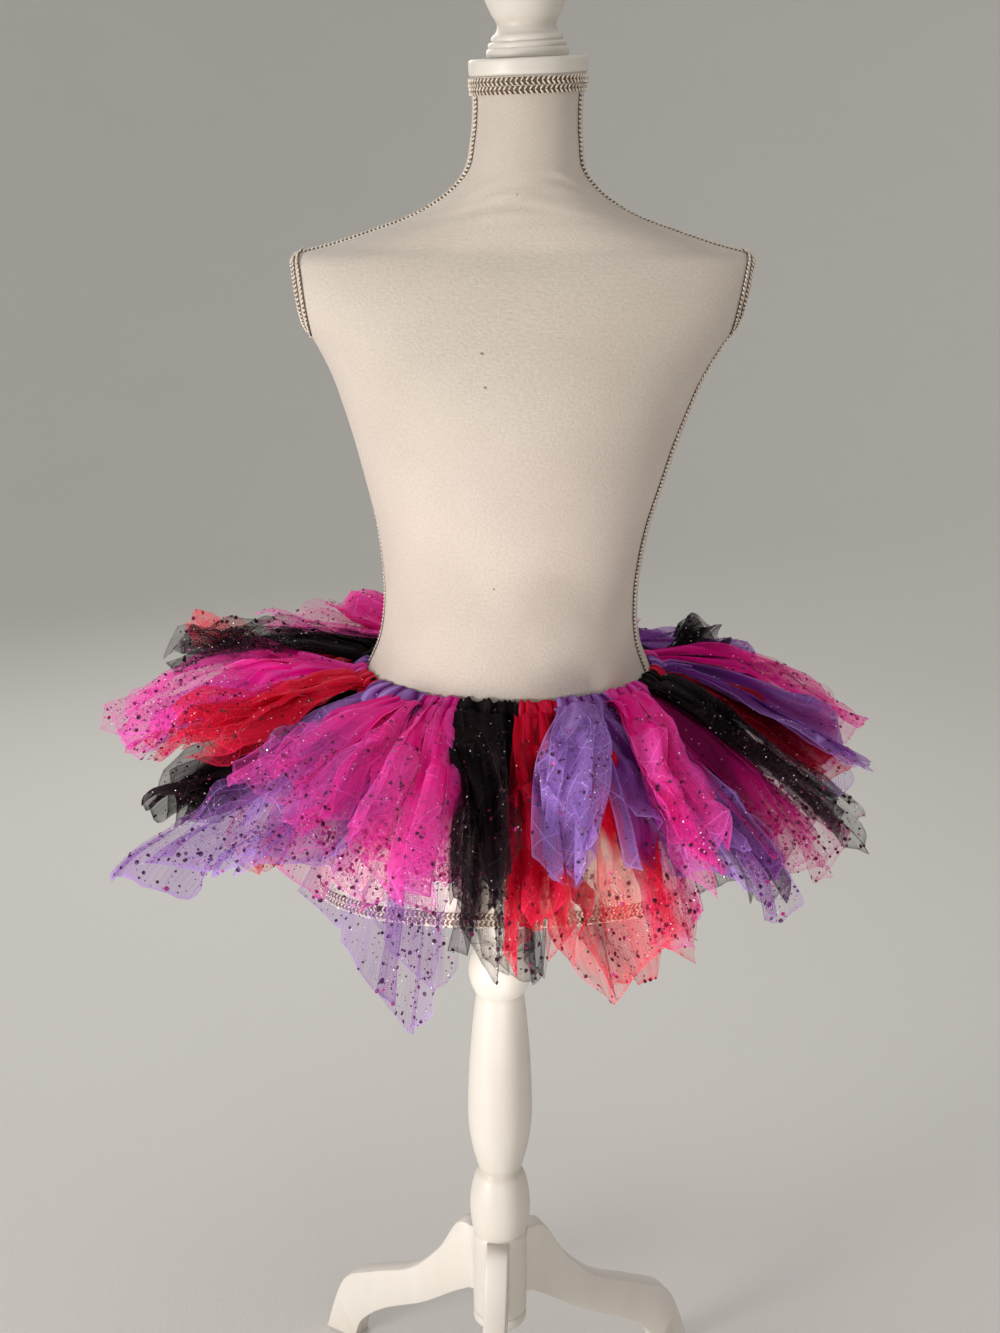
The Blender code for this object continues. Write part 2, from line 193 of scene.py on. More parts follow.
# One value or more for each item of a mesh's list
def readAll(items, key, width=1, kind=float):
    values = np.empty(len(items) * width, dtype=kind)
    items.foreach_get(key, values)
    return values


def addPiece(name, points, faces, material, uvs=None, attributes=None):
    mesh = bpy.data.meshes.new(name)
    mesh.from_pydata(np.asarray(points, dtype=float).tolist(), [], [tuple(face) for face in faces])
    mesh.materials.append(material)
    for face in mesh.polygons:
        face.use_smooth = True
    if uvs is not None:
        corners = readAll(mesh.loops, "vertex_index", kind=np.int64)
        layer = mesh.uv_layers.new(name="cloth")
        layer.data.foreach_set("uv", np.asarray(uvs, dtype=float)[corners].ravel())
    for key, values in (attributes or {}).items():
        layer = mesh.attributes.new(key, "FLOAT", "POINT")
        layer.data.foreach_set("value", np.asarray(values, dtype=float).ravel())
    piece = bpy.data.objects.new(name, mesh)
    bpy.context.collection.objects.link(piece)
    return piece


def gridFaces(rows, columns, start=0, around=False, flip=False):
    across = np.arange(columns if around else columns - 1)
    low = start + np.arange(rows - 1)[:, None] * columns + across[None, :]
    side = start + np.arange(rows - 1)[:, None] * columns + ((across + 1) % columns)[None, :]
    faces = np.stack([low, side, side + columns, low + columns], axis=-1).reshape(-1, 4)
    return faces[:, ::-1] if flip else faces


def circle(radius, height, sides):
    turns = np.linspace(0, math.tau, sides, endpoint=False)
    return np.stack([radius * np.cos(turns), radius * np.sin(turns), np.full(sides, height)], axis=1)


# A closed body through rings that run anticlockwise from the lowest to the highest
def closedRings(rings):
    rows, columns = len(rings), len(rings[0])
    points = np.concatenate([np.asarray(ring, dtype=float) for ring in rings])
    faces = gridFaces(rows, columns, around=True).tolist()
    for ring, order in ((0, -1), (rows - 1, 1)):
        middle = len(points)
        points = np.concatenate([points, points[ring * columns : (ring + 1) * columns].mean(axis=0)[None]])
        for side in range(columns):
            pair = (ring * columns + side, ring * columns + (side + 1) % columns)
            faces.append((*pair[::order], middle))
    return points, faces


# A Geometry Nodes tree that takes a mesh and named numbers; gives its maker and those inputs
def openTree(name, numbers):
    tree = bpy.data.node_groups.new(name, "GeometryNodeTree")
    tree.is_modifier = True
    tree.interface.new_socket(name="Geometry", in_out="INPUT", socket_type="NodeSocketGeometry")
    for label, value in numbers.items():
        kind = "NodeSocketInt" if isinstance(value, int) else "NodeSocketFloat"
        tree.interface.new_socket(name=label, in_out="INPUT", socket_type=kind).default_value = value
    tree.interface.new_socket(name="Geometry", in_out="OUTPUT", socket_type="NodeSocketGeometry")
    maker = NodeMaker(tree)
    entry = tree.nodes.new("NodeGroupInput")
    return maker, [Flow(maker, socket) for socket in list(entry.outputs)[: len(numbers) + 1]]


# The instances carry one number each and become a mesh of the material
def closeTree(maker, instances, key, value, material):
    settings = {"data_type": "FLOAT", "domain": "INSTANCE"}
    sockets = {"Geometry": instances, "Name": key, "Value": value}
    toned = maker.node("GeometryNodeStoreNamedAttribute", settings, sockets)
    real = maker.node("GeometryNodeRealizeInstances", {}, {"Geometry": toned})
    dressed = maker.node("GeometryNodeSetMaterial", {}, {"Geometry": real, "Material": material})
    leave = maker.tree.nodes.new("NodeGroupOutput")
    maker.tree.links.new(dressed.socket, leave.inputs[0])
    return maker.tree


def turnedBy(maker, facing, turn):
    local = maker.node("FunctionNodeEulerToRotation", {}, {0: turn})
    return maker.node("FunctionNodeRotateRotation", {"rotation_space": "LOCAL"}, {0: facing, 1: local})


# Runs the tree on the piece, with one of its inputs set, and keeps the mesh that comes out
def grow(piece, tree, label, value):
    modifier = piece.modifiers.new(tree.name, "NODES")
    modifier.node_group = tree
    modifier[next(item.identifier for item in tree.interface.items_tree if item.name == label)] = value
    bpy.context.view_layer.update()
    made = bpy.data.meshes.new_from_object(piece.evaluated_get(bpy.context.evaluated_depsgraph_get()))
    piece.modifiers.clear()
    old, piece.data = piece.data, made
    made.name = piece.name
    bpy.data.meshes.remove(old)


# Floor, light and camera

studio = {
    # the floor is flat out to floorRadius and climbs from there like a bowl
    "floorRings": (0.0001, 0.6, 1.3, 2.0),
    "floorRadius": 2.6,
    "bowlRadius": 7.5,
    "bowlHeight": 4.5,
    "bowlRings": 22,
    "bowlCurve": 2.2,
    "sides": 96,
    "floorColour": colour(0.66, 0.645, 0.62),
    "floorShade": 0.97,
    "worldColour": colour(1.0, 0.975, 0.94),
    "worldStrength": 0.56,
    # name, place, aimed at, size, spread in degrees, energy, colour
    "lights": (
        ("lowWindow", (-2.4, -1.9, 0.60), (0.0, 0.0, 0.66), 1.2, 75, 17.4, (1.0, 0.975, 0.94)),
        ("frontFill", (0.25, -1.75, 0.07), (0.0, 0.0, 0.60), 0.9, 70, 3.6, (1.0, 0.96, 0.93)),
        ("hipGlow", (0.15, -0.75, 0.04), (0.02, -0.10, 0.575), 0.3, 24, 0.50, (1.0, 0.95, 0.93)),
        ("ceiling", (0.3, -0.5, 3.0), (0.0, 0.0, 1.0), 2.0, 160, 6, (1.0, 0.98, 0.96)),
        ("backRim", (-0.9, 2.4, 2.0), (0.0, 0.0, 0.8), 1.5, 160, 18, (1.0, 1.0, 1.0)),
    ),
}
camera = {
    "place": (0.0, -1.70, 1.295),
    "pitch": 16.874,
    "lens": 52.66,
    "sensor": 36.0,
}


def makeStudio():
    finish = Finish("pale_floor")
    place = finish.objectPlace()
    shade = colour(*(part * studio["floorShade"] for part in studio["floorColour"][:3]))
    tone = finish.blend(finish.noise(place, 3.0, 3.0), studio["floorColour"], shade)
    grain = finish.bump(finish.noise(place, 220.0, 2.0), 0.0006, 0.4)
    material = finish.done(finish.surface(tone, 0.85, grain))
    bowl = np.linspace(studio["floorRadius"], studio["bowlRadius"], studio["bowlRings"])
    rings = []
    for radius in (*studio["floorRings"], *bowl):
        climb = max(radius - studio["floorRadius"], 0) / (studio["bowlRadius"] - studio["floorRadius"])
        rings.append(circle(radius, studio["bowlHeight"] * climb ** studio["bowlCurve"], studio["sides"]))
    faces = gridFaces(len(rings), studio["sides"], around=True)
    floor = addPiece("studio_floor", np.concatenate(rings), faces, material)
    for name, place, aim, size, spread, energy, tint in studio["lights"]:
        data = bpy.data.lights.new(name, "AREA")
        data.shape, data.size, data.energy, data.color = "DISK", size, energy, tint
        data.spread = math.radians(spread)
        light = bpy.data.objects.new(name, data)
        light.location = place
        light.rotation_mode = "QUATERNION"
        light.rotation_quaternion = (Vector(aim) - Vector(place)).to_track_quat("-Z", "Y")
        light.visible_camera = False
        bpy.context.collection.objects.link(light)
    world = bpy.data.worlds.new("softbox")
    world.use_nodes = True
    background = world.node_tree.nodes["Background"]
    background.inputs[0].default_value = studio["worldColour"]
    background.inputs[1].default_value = studio["worldStrength"]
    scene = bpy.context.scene
    scene.world = world
    data = bpy.data.cameras.new("camera")
    data.sensor_fit, data.sensor_width, data.sensor_height = "VERTICAL", camera["sensor"], camera["sensor"]
    data.lens = camera["lens"]
    eye = bpy.data.objects.new("camera", data)
    eye.location = Vector(camera["place"]) + Vector(standAxis)
    eye.rotation_euler = (math.radians(90 - camera["pitch"]), 0, 0)
    bpy.context.collection.objects.link(eye)
    scene.camera = eye
    scene.view_settings.view_transform = "Standard"
    scene.cycles.transparent_max_bounces = 32  # the skirt has many sheer layers
    print("studio, light and camera made")


makeStudio()


# The dress form's shape

form = {
    "lean": 0.030,
    "leanFrom": 0.50,
    "neckTilt": math.radians(2.5),
    "neckBase": 1.214,
    "neckTop": 1.295,
    "armholeTop": 1.145,
    "armholeBottom": 1.060,
    "armholeReach": 0.1945,
    "armholeSlope": 0.19,
    # height, half width, depth to the front, depth to the back, squareness
    "sections": np.array((
        (0.558, 0.1670, 0.0870, 0.1080, 2.2),
        (0.564, 0.1695, 0.0895, 0.1110, 2.2),
        (0.600, 0.1705, 0.0920, 0.1140, 2.2),
        (0.640, 0.1695, 0.0940, 0.1160, 2.2),
        (0.680, 0.1650, 0.0960, 0.1160, 2.1),
        (0.715, 0.1565, 0.0970, 0.1135, 2.0),
        (0.745, 0.1455, 0.0965, 0.1080, 2.0),
        (0.765, 0.1355, 0.0955, 0.1030, 2.0),
        (0.785, 0.1260, 0.0940, 0.0980, 2.0),
        (0.805, 0.1180, 0.0920, 0.0940, 2.0),
        (0.825, 0.1145, 0.0900, 0.0915, 2.0),
        (0.850, 0.1135, 0.0885, 0.0905, 2.0),
        (0.880, 0.1160, 0.0890, 0.0915, 2.0),
        (0.916, 0.1220, 0.0945, 0.0935, 2.1),
        (0.961, 0.1340, 0.1090, 0.0955, 2.2),
        (0.996, 0.1440, 0.1205, 0.0970, 2.2),
        (1.023, 0.1530, 0.1240, 0.0980, 2.2),
        (1.048, 0.1625, 0.1210, 0.0980, 2.2),
        (1.070, 0.1740, 0.1130, 0.0970, 2.2),
        (1.092, 0.1880, 0.1010, 0.0945, 2.3),
        (1.115, 0.1980, 0.0880, 0.0900, 2.4),
        (1.135, 0.2010, 0.0745, 0.0815, 2.4),
        (1.149, 0.1950, 0.0630, 0.0690, 2.4),
        (1.156, 0.1690, 0.0580, 0.0630, 2.3),
        (1.166, 0.1380, 0.0545, 0.0595, 2.2),
        (1.178, 0.1040, 0.0520, 0.0570, 2.1),
        (1.192, 0.0770, 0.0500, 0.0550, 2.0),
        (1.214, 0.0545, 0.0480, 0.0530, 2.0),
        (1.245, 0.0475, 0.0465, 0.0510, 2.0),
        (1.270, 0.0465, 0.0465, 0.0505, 2.0),
        (1.295, 0.0490, 0.0485, 0.0515, 2.0),
    )),
    "sides": 128,
}


def formMiddle(height):
    return (height - form["leanFrom"]) * form["lean"]


def armholeReach(height):
    return form["armholeReach"] - np.maximum(form["armholeTop"] - height, 0) * form["armholeSlope"]


# A point on the form's section at a height, or a little outside it
def formPoint(azimuth, height, outside=0.0, curved=False):
    azimuth, height = np.broadcast_arrays(np.asarray(azimuth, float), np.asarray(height, float))
    read = lookUpCurved if curved else lookUp
    width, front, back, squareness = (read(form["sections"], height, column) for column in (1, 2, 3, 4))
    across, along = np.cos(azimuth), np.sin(azimuth)
    depth = np.where(along < 0, front, back)
    power = 2 / squareness
    x = np.sign(across) * np.abs(across) ** power * (width + outside)
    y = np.sign(along) * np.abs(along) ** power * (depth + outside)
    reach = np.where(height > form["armholeBottom"], armholeReach(height) + outside, 1.0)
    return np.clip(x, -reach, reach) + formMiddle(height), y


def neckRise(x, height):
    tilt = math.tan(form["neckTilt"]) * ease((height - form["neckBase"]) / (form["neckTop"] - form["neckBase"]))
    return (x - formMiddle(height)) * tilt


def onForm(azimuth, height, outside=0.0):
    x, y = formPoint(azimuth, height, outside, curved=True)
    height = np.broadcast_to(height, x.shape)
    return np.stack([x, y, height + neckRise(x, height)], axis=-1) + standAxis


# The form's cloth cover

cover = {
    "cloth": colour(0.575, 0.512, 0.452),
    "shade": colour(0.430, 0.368, 0.312),
    "speck": colour(0.10, 0.07, 0.05),
    "threadPitch": 0.0011,
    "slubs": ((90.0, 900.0, 1.0), (900.0, 80.0, 1.0)),  # across and up the cloth
    "grainScale": 430.0,
    "mottleScale": 11.0,
    "yarnDepth": 0.00024,
    # how many specks a metre of cloth could hold, their edge as a share of that, and how few there are
    "speckScale": 15.0,
    "speckEdge": (0.010, 0.022),
    "speckChance": (0.86, 0.90),
    "aroundScale": 0.13,  # metres of cloth for one radian round the form
    "hemDepth": 0.0012,
    # from and to: the parts of the form's height that get their own number of rings
    "rings": ((0.558, 1.140, 94), (1.142, 1.236, 46), (1.241, 1.295, 10)),
    # height, azimuth in degrees, half width in degrees, half height, depth and tilt of each soft crease
    "creases": (
        (1.200, 284, 26, 0.0044, 0.0019, 0.00020),
        (1.192, 264, 30, 0.0046, 0.0018, -0.00012),
        (1.180, 272, 22, 0.0044, 0.0010, 0.00010),
        (1.203, 246, 22, 0.0048, 0.0017, 0.00042),
        (1.210, 304, 18, 0.0036, 0.0016, -0.00030),
        (1.186, 236, 20, 0.0045, 0.0016, 0.00035),
        (1.200, 92, 40, 0.0046, 0.0016, 0.0),
        (1.180, 80, 34, 0.0050, 0.0014, 0.00010),
    ),
}


def makeCoverCloth():
    finish = Finish("cover_linen")
    cloth = finish.cloth()
    along, up = finish.parts(cloth)[:2]
    turn = math.tau / cover["threadPitch"]
    weave = (along * turn).sine() * (up * turn).sine()
    slub, slubUp = (finish.noise(finish.stretched(cloth, size), 1.0, 2.0, flat=True) for size in cover["slubs"])
    grain = finish.noise(cloth, cover["grainScale"], 3.0, 0.65, flat=True)
    mottle = finish.noise(cloth, cover["mottleScale"], 4.0, flat=True)
    mixed = (mottle * 0.6 + grain * 1.1 + slub * 0.2 - 0.62).limited()
    tone = finish.blend(mixed, cover["cloth"], cover["shade"])
    cells = {"Vector": cloth, "Scale": cover["speckScale"]}
    kind = {"voronoi_dimensions": "2D", "feature": "F1"}
    spot, cell = (finish.node("ShaderNodeTexVoronoi", kind, cells, output=output) for output in (0, 1))
    chance = finish.parts(cell)[0]
    mark = (1.0 - spot.step(*cover["speckEdge"])) * chance.step(*cover["speckChance"])
    tone = finish.blend(mark * 0.7, tone, cover["speck"])
    yarn = weave * 0.4 + (slub + slubUp) * 0.55 + grain * 2.6
    normal = finish.bump(yarn, cover["yarnDepth"], 0.75)
    rough = finish.noise(cloth, 60.0, 1.0, flat=True) * 0.1 + 0.84
    return finish.done(finish.surface(tone, rough, normal, Sheen_Weight=0.25, Sheen_Roughness=0.5))


def makeCover():
    bottom = form["sections"][0, 0]
    heights = np.concatenate([np.linspace(*part) for part in cover["rings"]])
    turns = np.linspace(0, math.tau, form["sides"], endpoint=False)
    azimuth, height = np.meshgrid(turns, heights)
    outside = np.zeros_like(height)
    for level, middle, half, rise, depth, tilt in cover["creases"]:
        away = (np.degrees(azimuth) - middle + 180) % 360 - 180
        past = height - level - tilt * away + 0.0000045 * away**2
        outside += depth * bell(away, half) * (bell(past - rise * 1.6, rise * 1.3) * 0.8 - bell(past, rise))
    # the cover is drawn in a little where the braid is sewn at its lower edge
    outside -= cover["hemDepth"] * bell(height - bottom, 0.004)
    points, faces = closedRings(onForm(azimuth, height, outside))
    uvs = np.stack([azimuth * cover["aroundScale"], height], axis=-1)
    uvs = np.concatenate([uvs.reshape(-1, 2), uvs[[0, -1], 0]])
    piece = addPiece("form_cover", points, faces, makeCoverCloth(), uvs)
    piece.data.set_sharp_from_angle(angle=math.radians(60))
    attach(piece, "root")
    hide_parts("form_torso")
    print("cover sewn over the form:", len(piece.data.polygons), "faces")


makeCover()


# Braid trims

braid = {
    "pitch": 0.0043,
    "stitchLength": 0.0027,  # half of each, as the widths and thicknesses here
    "stitchWidth": 0.00088,
    "stitchThickness": 0.00095,
    "slant": 50.0,
    "offset": 0.0013,  # from the form
    "seamScale": 0.84,  # the single braids on the seams are finer
    "tapeHalf": 0.0031,
    "tapeDepth": 0.0010,  # how far it lies below the stitches' middle
    "rowShift": 0.66,  # of each of the two slanted rows from the line, as a share of a stitch
    "neckRows": (1.2908, 1.2838),
    "hipRows": (0.5650, 0.5722),
    "armholeRows": (-0.0004, 0.0046),
    "roundSteps": 361,
    # from, to and count of the heights, then how far forward of the side each height lies, in degrees
    "seamHeights": ((0.578, 1.082, 240),),
    "seamForward": ((0.80, 0.92, 0.99, 1.04, 1.082), (16, 21, 22, 19.5, 14)),
    "leftSeam": -0.2,  # the left seam's forward angle, as a share of the right one's
    "shoulderHeights": ((1.1495, 1.20, 140), (1.2015, 1.279, 60)),
    "shoulderForward": ((1.15, 1.19, 1.225, 1.28), (10, 13, 22, 24)),
    "armholeHeights": (1.083, 1.1515, 60),
    # where the armhole's line closes below and above, how far it is drawn in there, and how much the braid
    # on the edge itself faces sideways
    "below": 0.003,
    "above": 0.0015,
    "drawnIn": 0.002,
    "edgeTurn": 0.055,
    "yarn": colour(0.72, 0.65, 0.56),
    "shade": colour(0.50, 0.42, 0.33),
    # the tape under the stitches is dark brown, and its darkness is also painted shade in the gaps between them
    "tapeAndGapShade": colour(0.085, 0.050, 0.032),
    "tapeWorn": colour(0.19, 0.13, 0.09),
}


def makeBraidYarn():
    finish = Finish("braid_yarn")
    tone = finish.attribute("tone")
    place = finish.objectPlace()
    fibre = finish.noise(place, 900.0, 2.0)
    mixed = finish.blend((tone * tone * 0.75 + fibre * 0.25 - 0.05).limited(), braid["yarn"], braid["shade"])
    normal = finish.bump(fibre, 0.0003, 0.7)
    return finish.done(finish.surface(mixed, fibre * 0.15 + 0.7, normal, Sheen_Weight=0.2))


# dark brown tape, darker than the cloth itself as painted shade in the gaps between the stitches
def makeBraidTapeAndGapShade():
    finish = Finish("braid_tape")
    fibre = finish.noise(finish.objectPlace(), 700.0, 2.0)
    tone = finish.blend(fibre, braid["tapeAndGapShade"], braid["tapeWorn"])
    return finish.done(finish.surface(tone, fibre * 0.1 + 0.8, finish.bump(fibre, 0.0003, 0.8)))


def braidTree(material):
    lengths = {f"Stitch {part}": braid[f"stitch{part.title()}"] for part in ("length", "width", "thickness")}
    maker, given = openTree("braid", {**lengths, "Slant": math.radians(braid["slant"])})
    points, length, width, thickness, slant = given
    size = maker.node("ShaderNodeCombineXYZ", {}, {0: length, 1: width, 2: thickness})
    ball = maker.node("GeometryNodeMeshUVSphere", {}, {"Segments": 6, "Rings": 3, "Radius": 1.0})
    stitch = maker.node("GeometryNodeTransform", {}, {"Geometry": ball, "Scale": size})
    along, outward = (
        maker.node("GeometryNodeInputNamedAttribute", {"data_type": "FLOAT_VECTOR"}, {"Name": name})
        for name in ("along", "outward")
    )
    aligned = "FunctionNodeAlignRotationToVector"
    facing = maker.node(aligned, {"axis": "X"}, {"Vector": along})
    facing = maker.node(aligned, {"axis": "Z", "pivot_axis": "X"}, {"Rotation": facing, "Vector": outward})
    rows = []
    for side in (-1, 1):
        turn = maker.node("ShaderNodeCombineXYZ", {}, {2: slant * side})
        sockets = {"Points": points, "Instance": stitch, "Rotation": turnedBy(maker, facing, turn)}
        placed = maker.node("GeometryNodeInstanceOnPoints", {}, sockets)
        shift = maker.node("ShaderNodeCombineXYZ", {}, {1: length * (braid["rowShift"] * side)})
        back = maker.node("FunctionNodeRotateVector", {}, {0: shift, 1: facing})
        sockets = {"Instances": placed, "Translation": back, "Local Space": False}
        rows.append(maker.node("GeometryNodeTranslateInstances", {}, sockets))
    joined = maker.node("GeometryNodeJoinGeometry")
    for row in rows:
        maker.tree.links.new(row.socket, joined.socket.node.inputs[0])
    chance = maker.node("FunctionNodeRandomValue", {"data_type": "FLOAT"}, {"Seed": 5}, output=1)
    return closeTree(maker, joined, "tone", chance, material)


# Points at the braid's pitch along a line on the form, with the directions along it and outwards
def pacedPoints(line, outward, pitch):
    steps = np.linalg.norm(np.diff(line, axis=0), axis=1)
    run = np.concatenate(([0], np.cumsum(steps)))
    paces = np.linspace(0, run[-1], max(2, int(run[-1] / pitch)))
    place = np.stack([np.interp(paces, run, line[:, axis]) for axis in range(3)], axis=1)
    out = np.stack([np.interp(paces, run, outward[:, axis]) for axis in range(3)], axis=1)
    along = np.gradient(place, axis=0)
    along /= np.linalg.norm(along, axis=1)[:, None]
    out -= (out * along).sum(axis=1)[:, None] * along
    return place, along, out / np.linalg.norm(out, axis=1)[:, None]


# A line on the form, and the directions out of it
def formLine(azimuths, heights):
    near = onForm(azimuths, heights, braid["offset"])
    far = onForm(azimuths, heights, braid["offset"] + 0.01)
    outward = far - near
    outward /= np.linalg.norm(outward, axis=1)[:, None]
    return near, outward


# A line along the armhole's edge, from below round the front to below again: on the form beside the edge, or
# round the edge itself
def armholeLine(side, shift):
    heights = np.linspace(*braid["armholeHeights"])
    width, squareness = (lookUpCurved(form["sections"], heights, column) for column in (1, 4))
    reach = armholeReach(heights) - shift
    cut = width > reach
    heights, width, squareness, reach = heights[cut], width[cut], squareness[cut], reach[cut]
    angle = np.arccos(np.clip((reach / width) ** (squareness / 2), 0, 1))
    turn = (angle, math.pi - angle) if side > 0 else (math.pi - angle, angle)
    frontLine, frontOut = formLine(-turn[0], heights)
    backLine, backOut = formLine(turn[0], heights)
    ends = []
    closings = ((heights[0] - braid["below"], 0.0), (heights[-1] + braid["above"], braid["drawnIn"]))
    for height, inward in closings:
        ends.append([side * (armholeReach(height) - inward - shift) + formMiddle(height), 0.0, height])
    bottom, top = (np.array([end]) + standAxis for end in ends)
    line = np.concatenate([bottom, frontLine, top, backLine[::-1], bottom])
    down, over = np.array([[side * 0.7, 0.0, -0.7]]), np.array([[side * 0.3, 0.0, 0.95]])
    outward = np.concatenate([down, frontOut, over, backOut[::-1], down])
    if shift <= 0:
        outward = line - line.mean(axis=0)
        outward[:, 0] = side * braid["edgeTurn"]
    for _ in range(2):
        line[1:-1] = (line[:-2] + 2 * line[1:-1] + line[2:]) / 4
        outward[1:-1] = (outward[:-2] + 2 * outward[1:-1] + outward[2:]) / 4
    outward /= np.linalg.norm(outward, axis=1)[:, None]
    return line, outward


def makeBraids():
    yarn = makeBraidYarn()
    tree = braidTree(yarn)
    around = np.linspace(0, math.tau, braid["roundSteps"])
    neckRows, hipRows = (
        [formLine(around, np.full(len(around), height)) for height in braid[rows]]
        for rows in ("neckRows", "hipRows")
    )
    sideLines = {}
    for kind in ("seam", "shoulder"):
        heights = np.concatenate([np.linspace(*part) for part in braid[f"{kind}Heights"]])
        forward = np.interp(heights, *braid[f"{kind}Forward"])
        left = forward * (braid["leftSeam"] if kind == "seam" else 1)
        sideLines[kind] = [formLine(np.radians(azimuths), heights) for azimuths in (-forward, 180 + left)]
    armholes = [armholeLine(side, shift) for side in (-1, 1) for shift in braid["armholeRows"]]
    tapes, tapeFaces, start = [], [], 0
    for name, lines, scale in (
        ("braid_neck", neckRows, 1.0),
        ("braid_shoulders", sideLines["shoulder"], braid["seamScale"]),
        ("braid_armholes", armholes, braid["seamScale"]),
        ("braid_side_seams", sideLines["seam"], braid["seamScale"]),
        ("braid_hip", hipRows, 1.0),
    ):
        paced = [pacedPoints(*line, braid["pitch"] * scale) for line in lines]
        for place, along, outward in paced:
            side = np.cross(outward, along) * braid["tapeHalf"] * scale
            middle = place - outward * braid["tapeDepth"]
            raised = middle + outward * 0.0003
            tapes.append(np.stack([middle - side, raised, middle + side], axis=1).reshape(-1, 3))
            tapeFaces.append(gridFaces(len(place), 3, start))
            start += 3 * len(place)
        place, along, outward = (np.concatenate(part) for part in zip(*paced))
        piece = addPiece(name, place, [], yarn)
        for key, values in (("along", along), ("outward", outward)):
            layer = piece.data.attributes.new(key, "FLOAT_VECTOR", "POINT")
            layer.data.foreach_set("vector", values.ravel())
        grow(piece, tree, "Stitch length", braid["stitchLength"] * scale)
        for face in piece.data.polygons:
            face.use_smooth = True
        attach(piece, "root")
        print(name, len(place), "stitches")
    faces = np.concatenate(tapeFaces).tolist()
    tapeAndGapShade = addPiece("braid_tapes", np.concatenate(tapes), faces, makeBraidTapeAndGapShade())
    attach(tapeAndGapShade, "root")


makeBraids()


# The stand's turned and sawn wood

turning = {
    "sides": 72,
    "stepLength": 0.0022,
    "hollowDepth": 0.0015,  # where the paint's dust is thickest
    # bottom, top, radius at the bottom, in the middle and at the top of each member
    "stand_hub": (
        (0.0880, 0.0930, 0.0190, 0.0240, 0.0260),
        (0.0930, 0.1010, 0.0260, 0.0268, 0.0260),
        (0.1010, 0.1040, 0.0260, 0.0240, 0.0265),
        (0.1040, 0.1880, 0.0265, 0.0268, 0.0265),
        (0.1880, 0.1942, 0.0265, 0.0260, 0.0240),
    ),
    "stand_post": (
        (0.1945, 0.2580, 0.0262, 0.0297, 0.0240),
        (0.2580, 0.2680, 0.0240, 0.0208, 0.0217),
        (0.2680, 0.3360, 0.0217, 0.0294, 0.0312),
        (0.3360, 0.4550, 0.0312, 0.0286, 0.0226),
        (0.4550, 0.5030, 0.0240, 0.0301, 0.0215),
        (0.5030, 0.5130, 0.0215, 0.0228, 0.0200),
        (0.5130, 0.5577, 0.0190, 0.0190, 0.0190),
    ),
    "neck_cap": (
        (0.0000, 0.0020, 0.0480, 0.0495, 0.0500),
        (0.0020, 0.0118, 0.0500, 0.0500, 0.0500),
        (0.0118, 0.0138, 0.0500, 0.0495, 0.0480),
    ),
    "neck_finial": (
        (0.0000, 0.0075, 0.0340, 0.0347, 0.0340),
        (0.0075, 0.0125, 0.0320, 0.0332, 0.0320),
        (0.0125, 0.0185, 0.0290, 0.0303, 0.0285),
        (0.0185, 0.0330, 0.0272, 0.0246, 0.0285),
        (0.0330, 0.0480, 0.0285, 0.0318, 0.0350),
        (0.0480, 0.0760, 0.0350, 0.0375, 0.0310),
        (0.0760, 0.0930, 0.0310, 0.0255, 0.0150),
        (0.0930, 0.1000, 0.0150, 0.0105, 0.0030),
    ),
    "capHeight": 0.0138,
    "clearance": 0.0003,
}
paint = {
    "white": colour(0.645, 0.610, 0.560),
    "aged": colour(0.56, 0.515, 0.455),
    "dust": colour(0.42, 0.37, 0.30),
    "roughness": 0.46,
}


def makePaint():
    finish = Finish("stand_paint")
    place = finish.objectPlace()
    mottle = finish.noise(place, 14.0, 4.0)
    streak = finish.noise(finish.stretched(place, (60.0, 60.0, 7.0)), 1.0, 3.0)
    tone = finish.blend((mottle * 0.8 + streak * 0.6 - 0.42).limited(), paint["white"], paint["aged"])
    hollow = finish.attribute("hollow")
    tone = finish.blend((hollow * (streak * 0.9 + 0.25)).limited() * 0.65, tone, paint["dust"])
    brushed = streak * 0.6 + finish.noise(place, 260.0, 2.0) * 0.4
    normal = finish.bump(brushed, 0.00035, 0.5)
    rough = mottle * 0.16 + paint["roughness"] - 0.06
    return finish.done(finish.surface(tone, rough, normal, Coat_Weight=0.12, Coat_Roughness=0.3))


def turnedPiece(name, material, place):
    profile = []
    for bottom, top, low, middle, high in turning[name]:
        steps = max(3, int((top - bottom) / turning["stepLength"]))
        share = np.linspace(0, 1, steps + 1)
        bulge = 4 * share * (1 - share) * (middle - (low + high) / 2)
        for radius, height in zip(between(low, high, share) + bulge, between(bottom, top, share)):
            if not profile or math.dist(profile[-1], (radius, height)) > 0.0003:
                profile.append((radius, height))
    profile = np.array(profile)
    rounded = profile.copy()
    # small radii where two members meet
    rounded[1:-1] = (profile[:-2] + 4 * profile[1:-1] + profile[2:]) / 6
    rings, hollow = [], []
    neighbours = np.pad(rounded[:, 0], 3, mode="edge")
    around = sum(neighbours[shift : shift + len(rounded)] for shift in range(7)) / 7
    for (radius, height), mean in zip(rounded, around):
        rings.append(circle(radius, height, turning["sides"]))
        hollow += [float(np.clip((mean - radius) / turning["hollowDepth"], 0, 1))] * turning["sides"]
    points, faces = closedRings(rings)
    hollow += [0.0, 0.0]
    points = np.array([place @ Vector(point) for point in points])
    piece = addPiece(f"painted_{name}", points, faces, material, attributes={"hollow": hollow})
    piece.data.set_sharp_from_angle(angle=math.radians(42))
    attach(piece, "root")
    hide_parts(name)


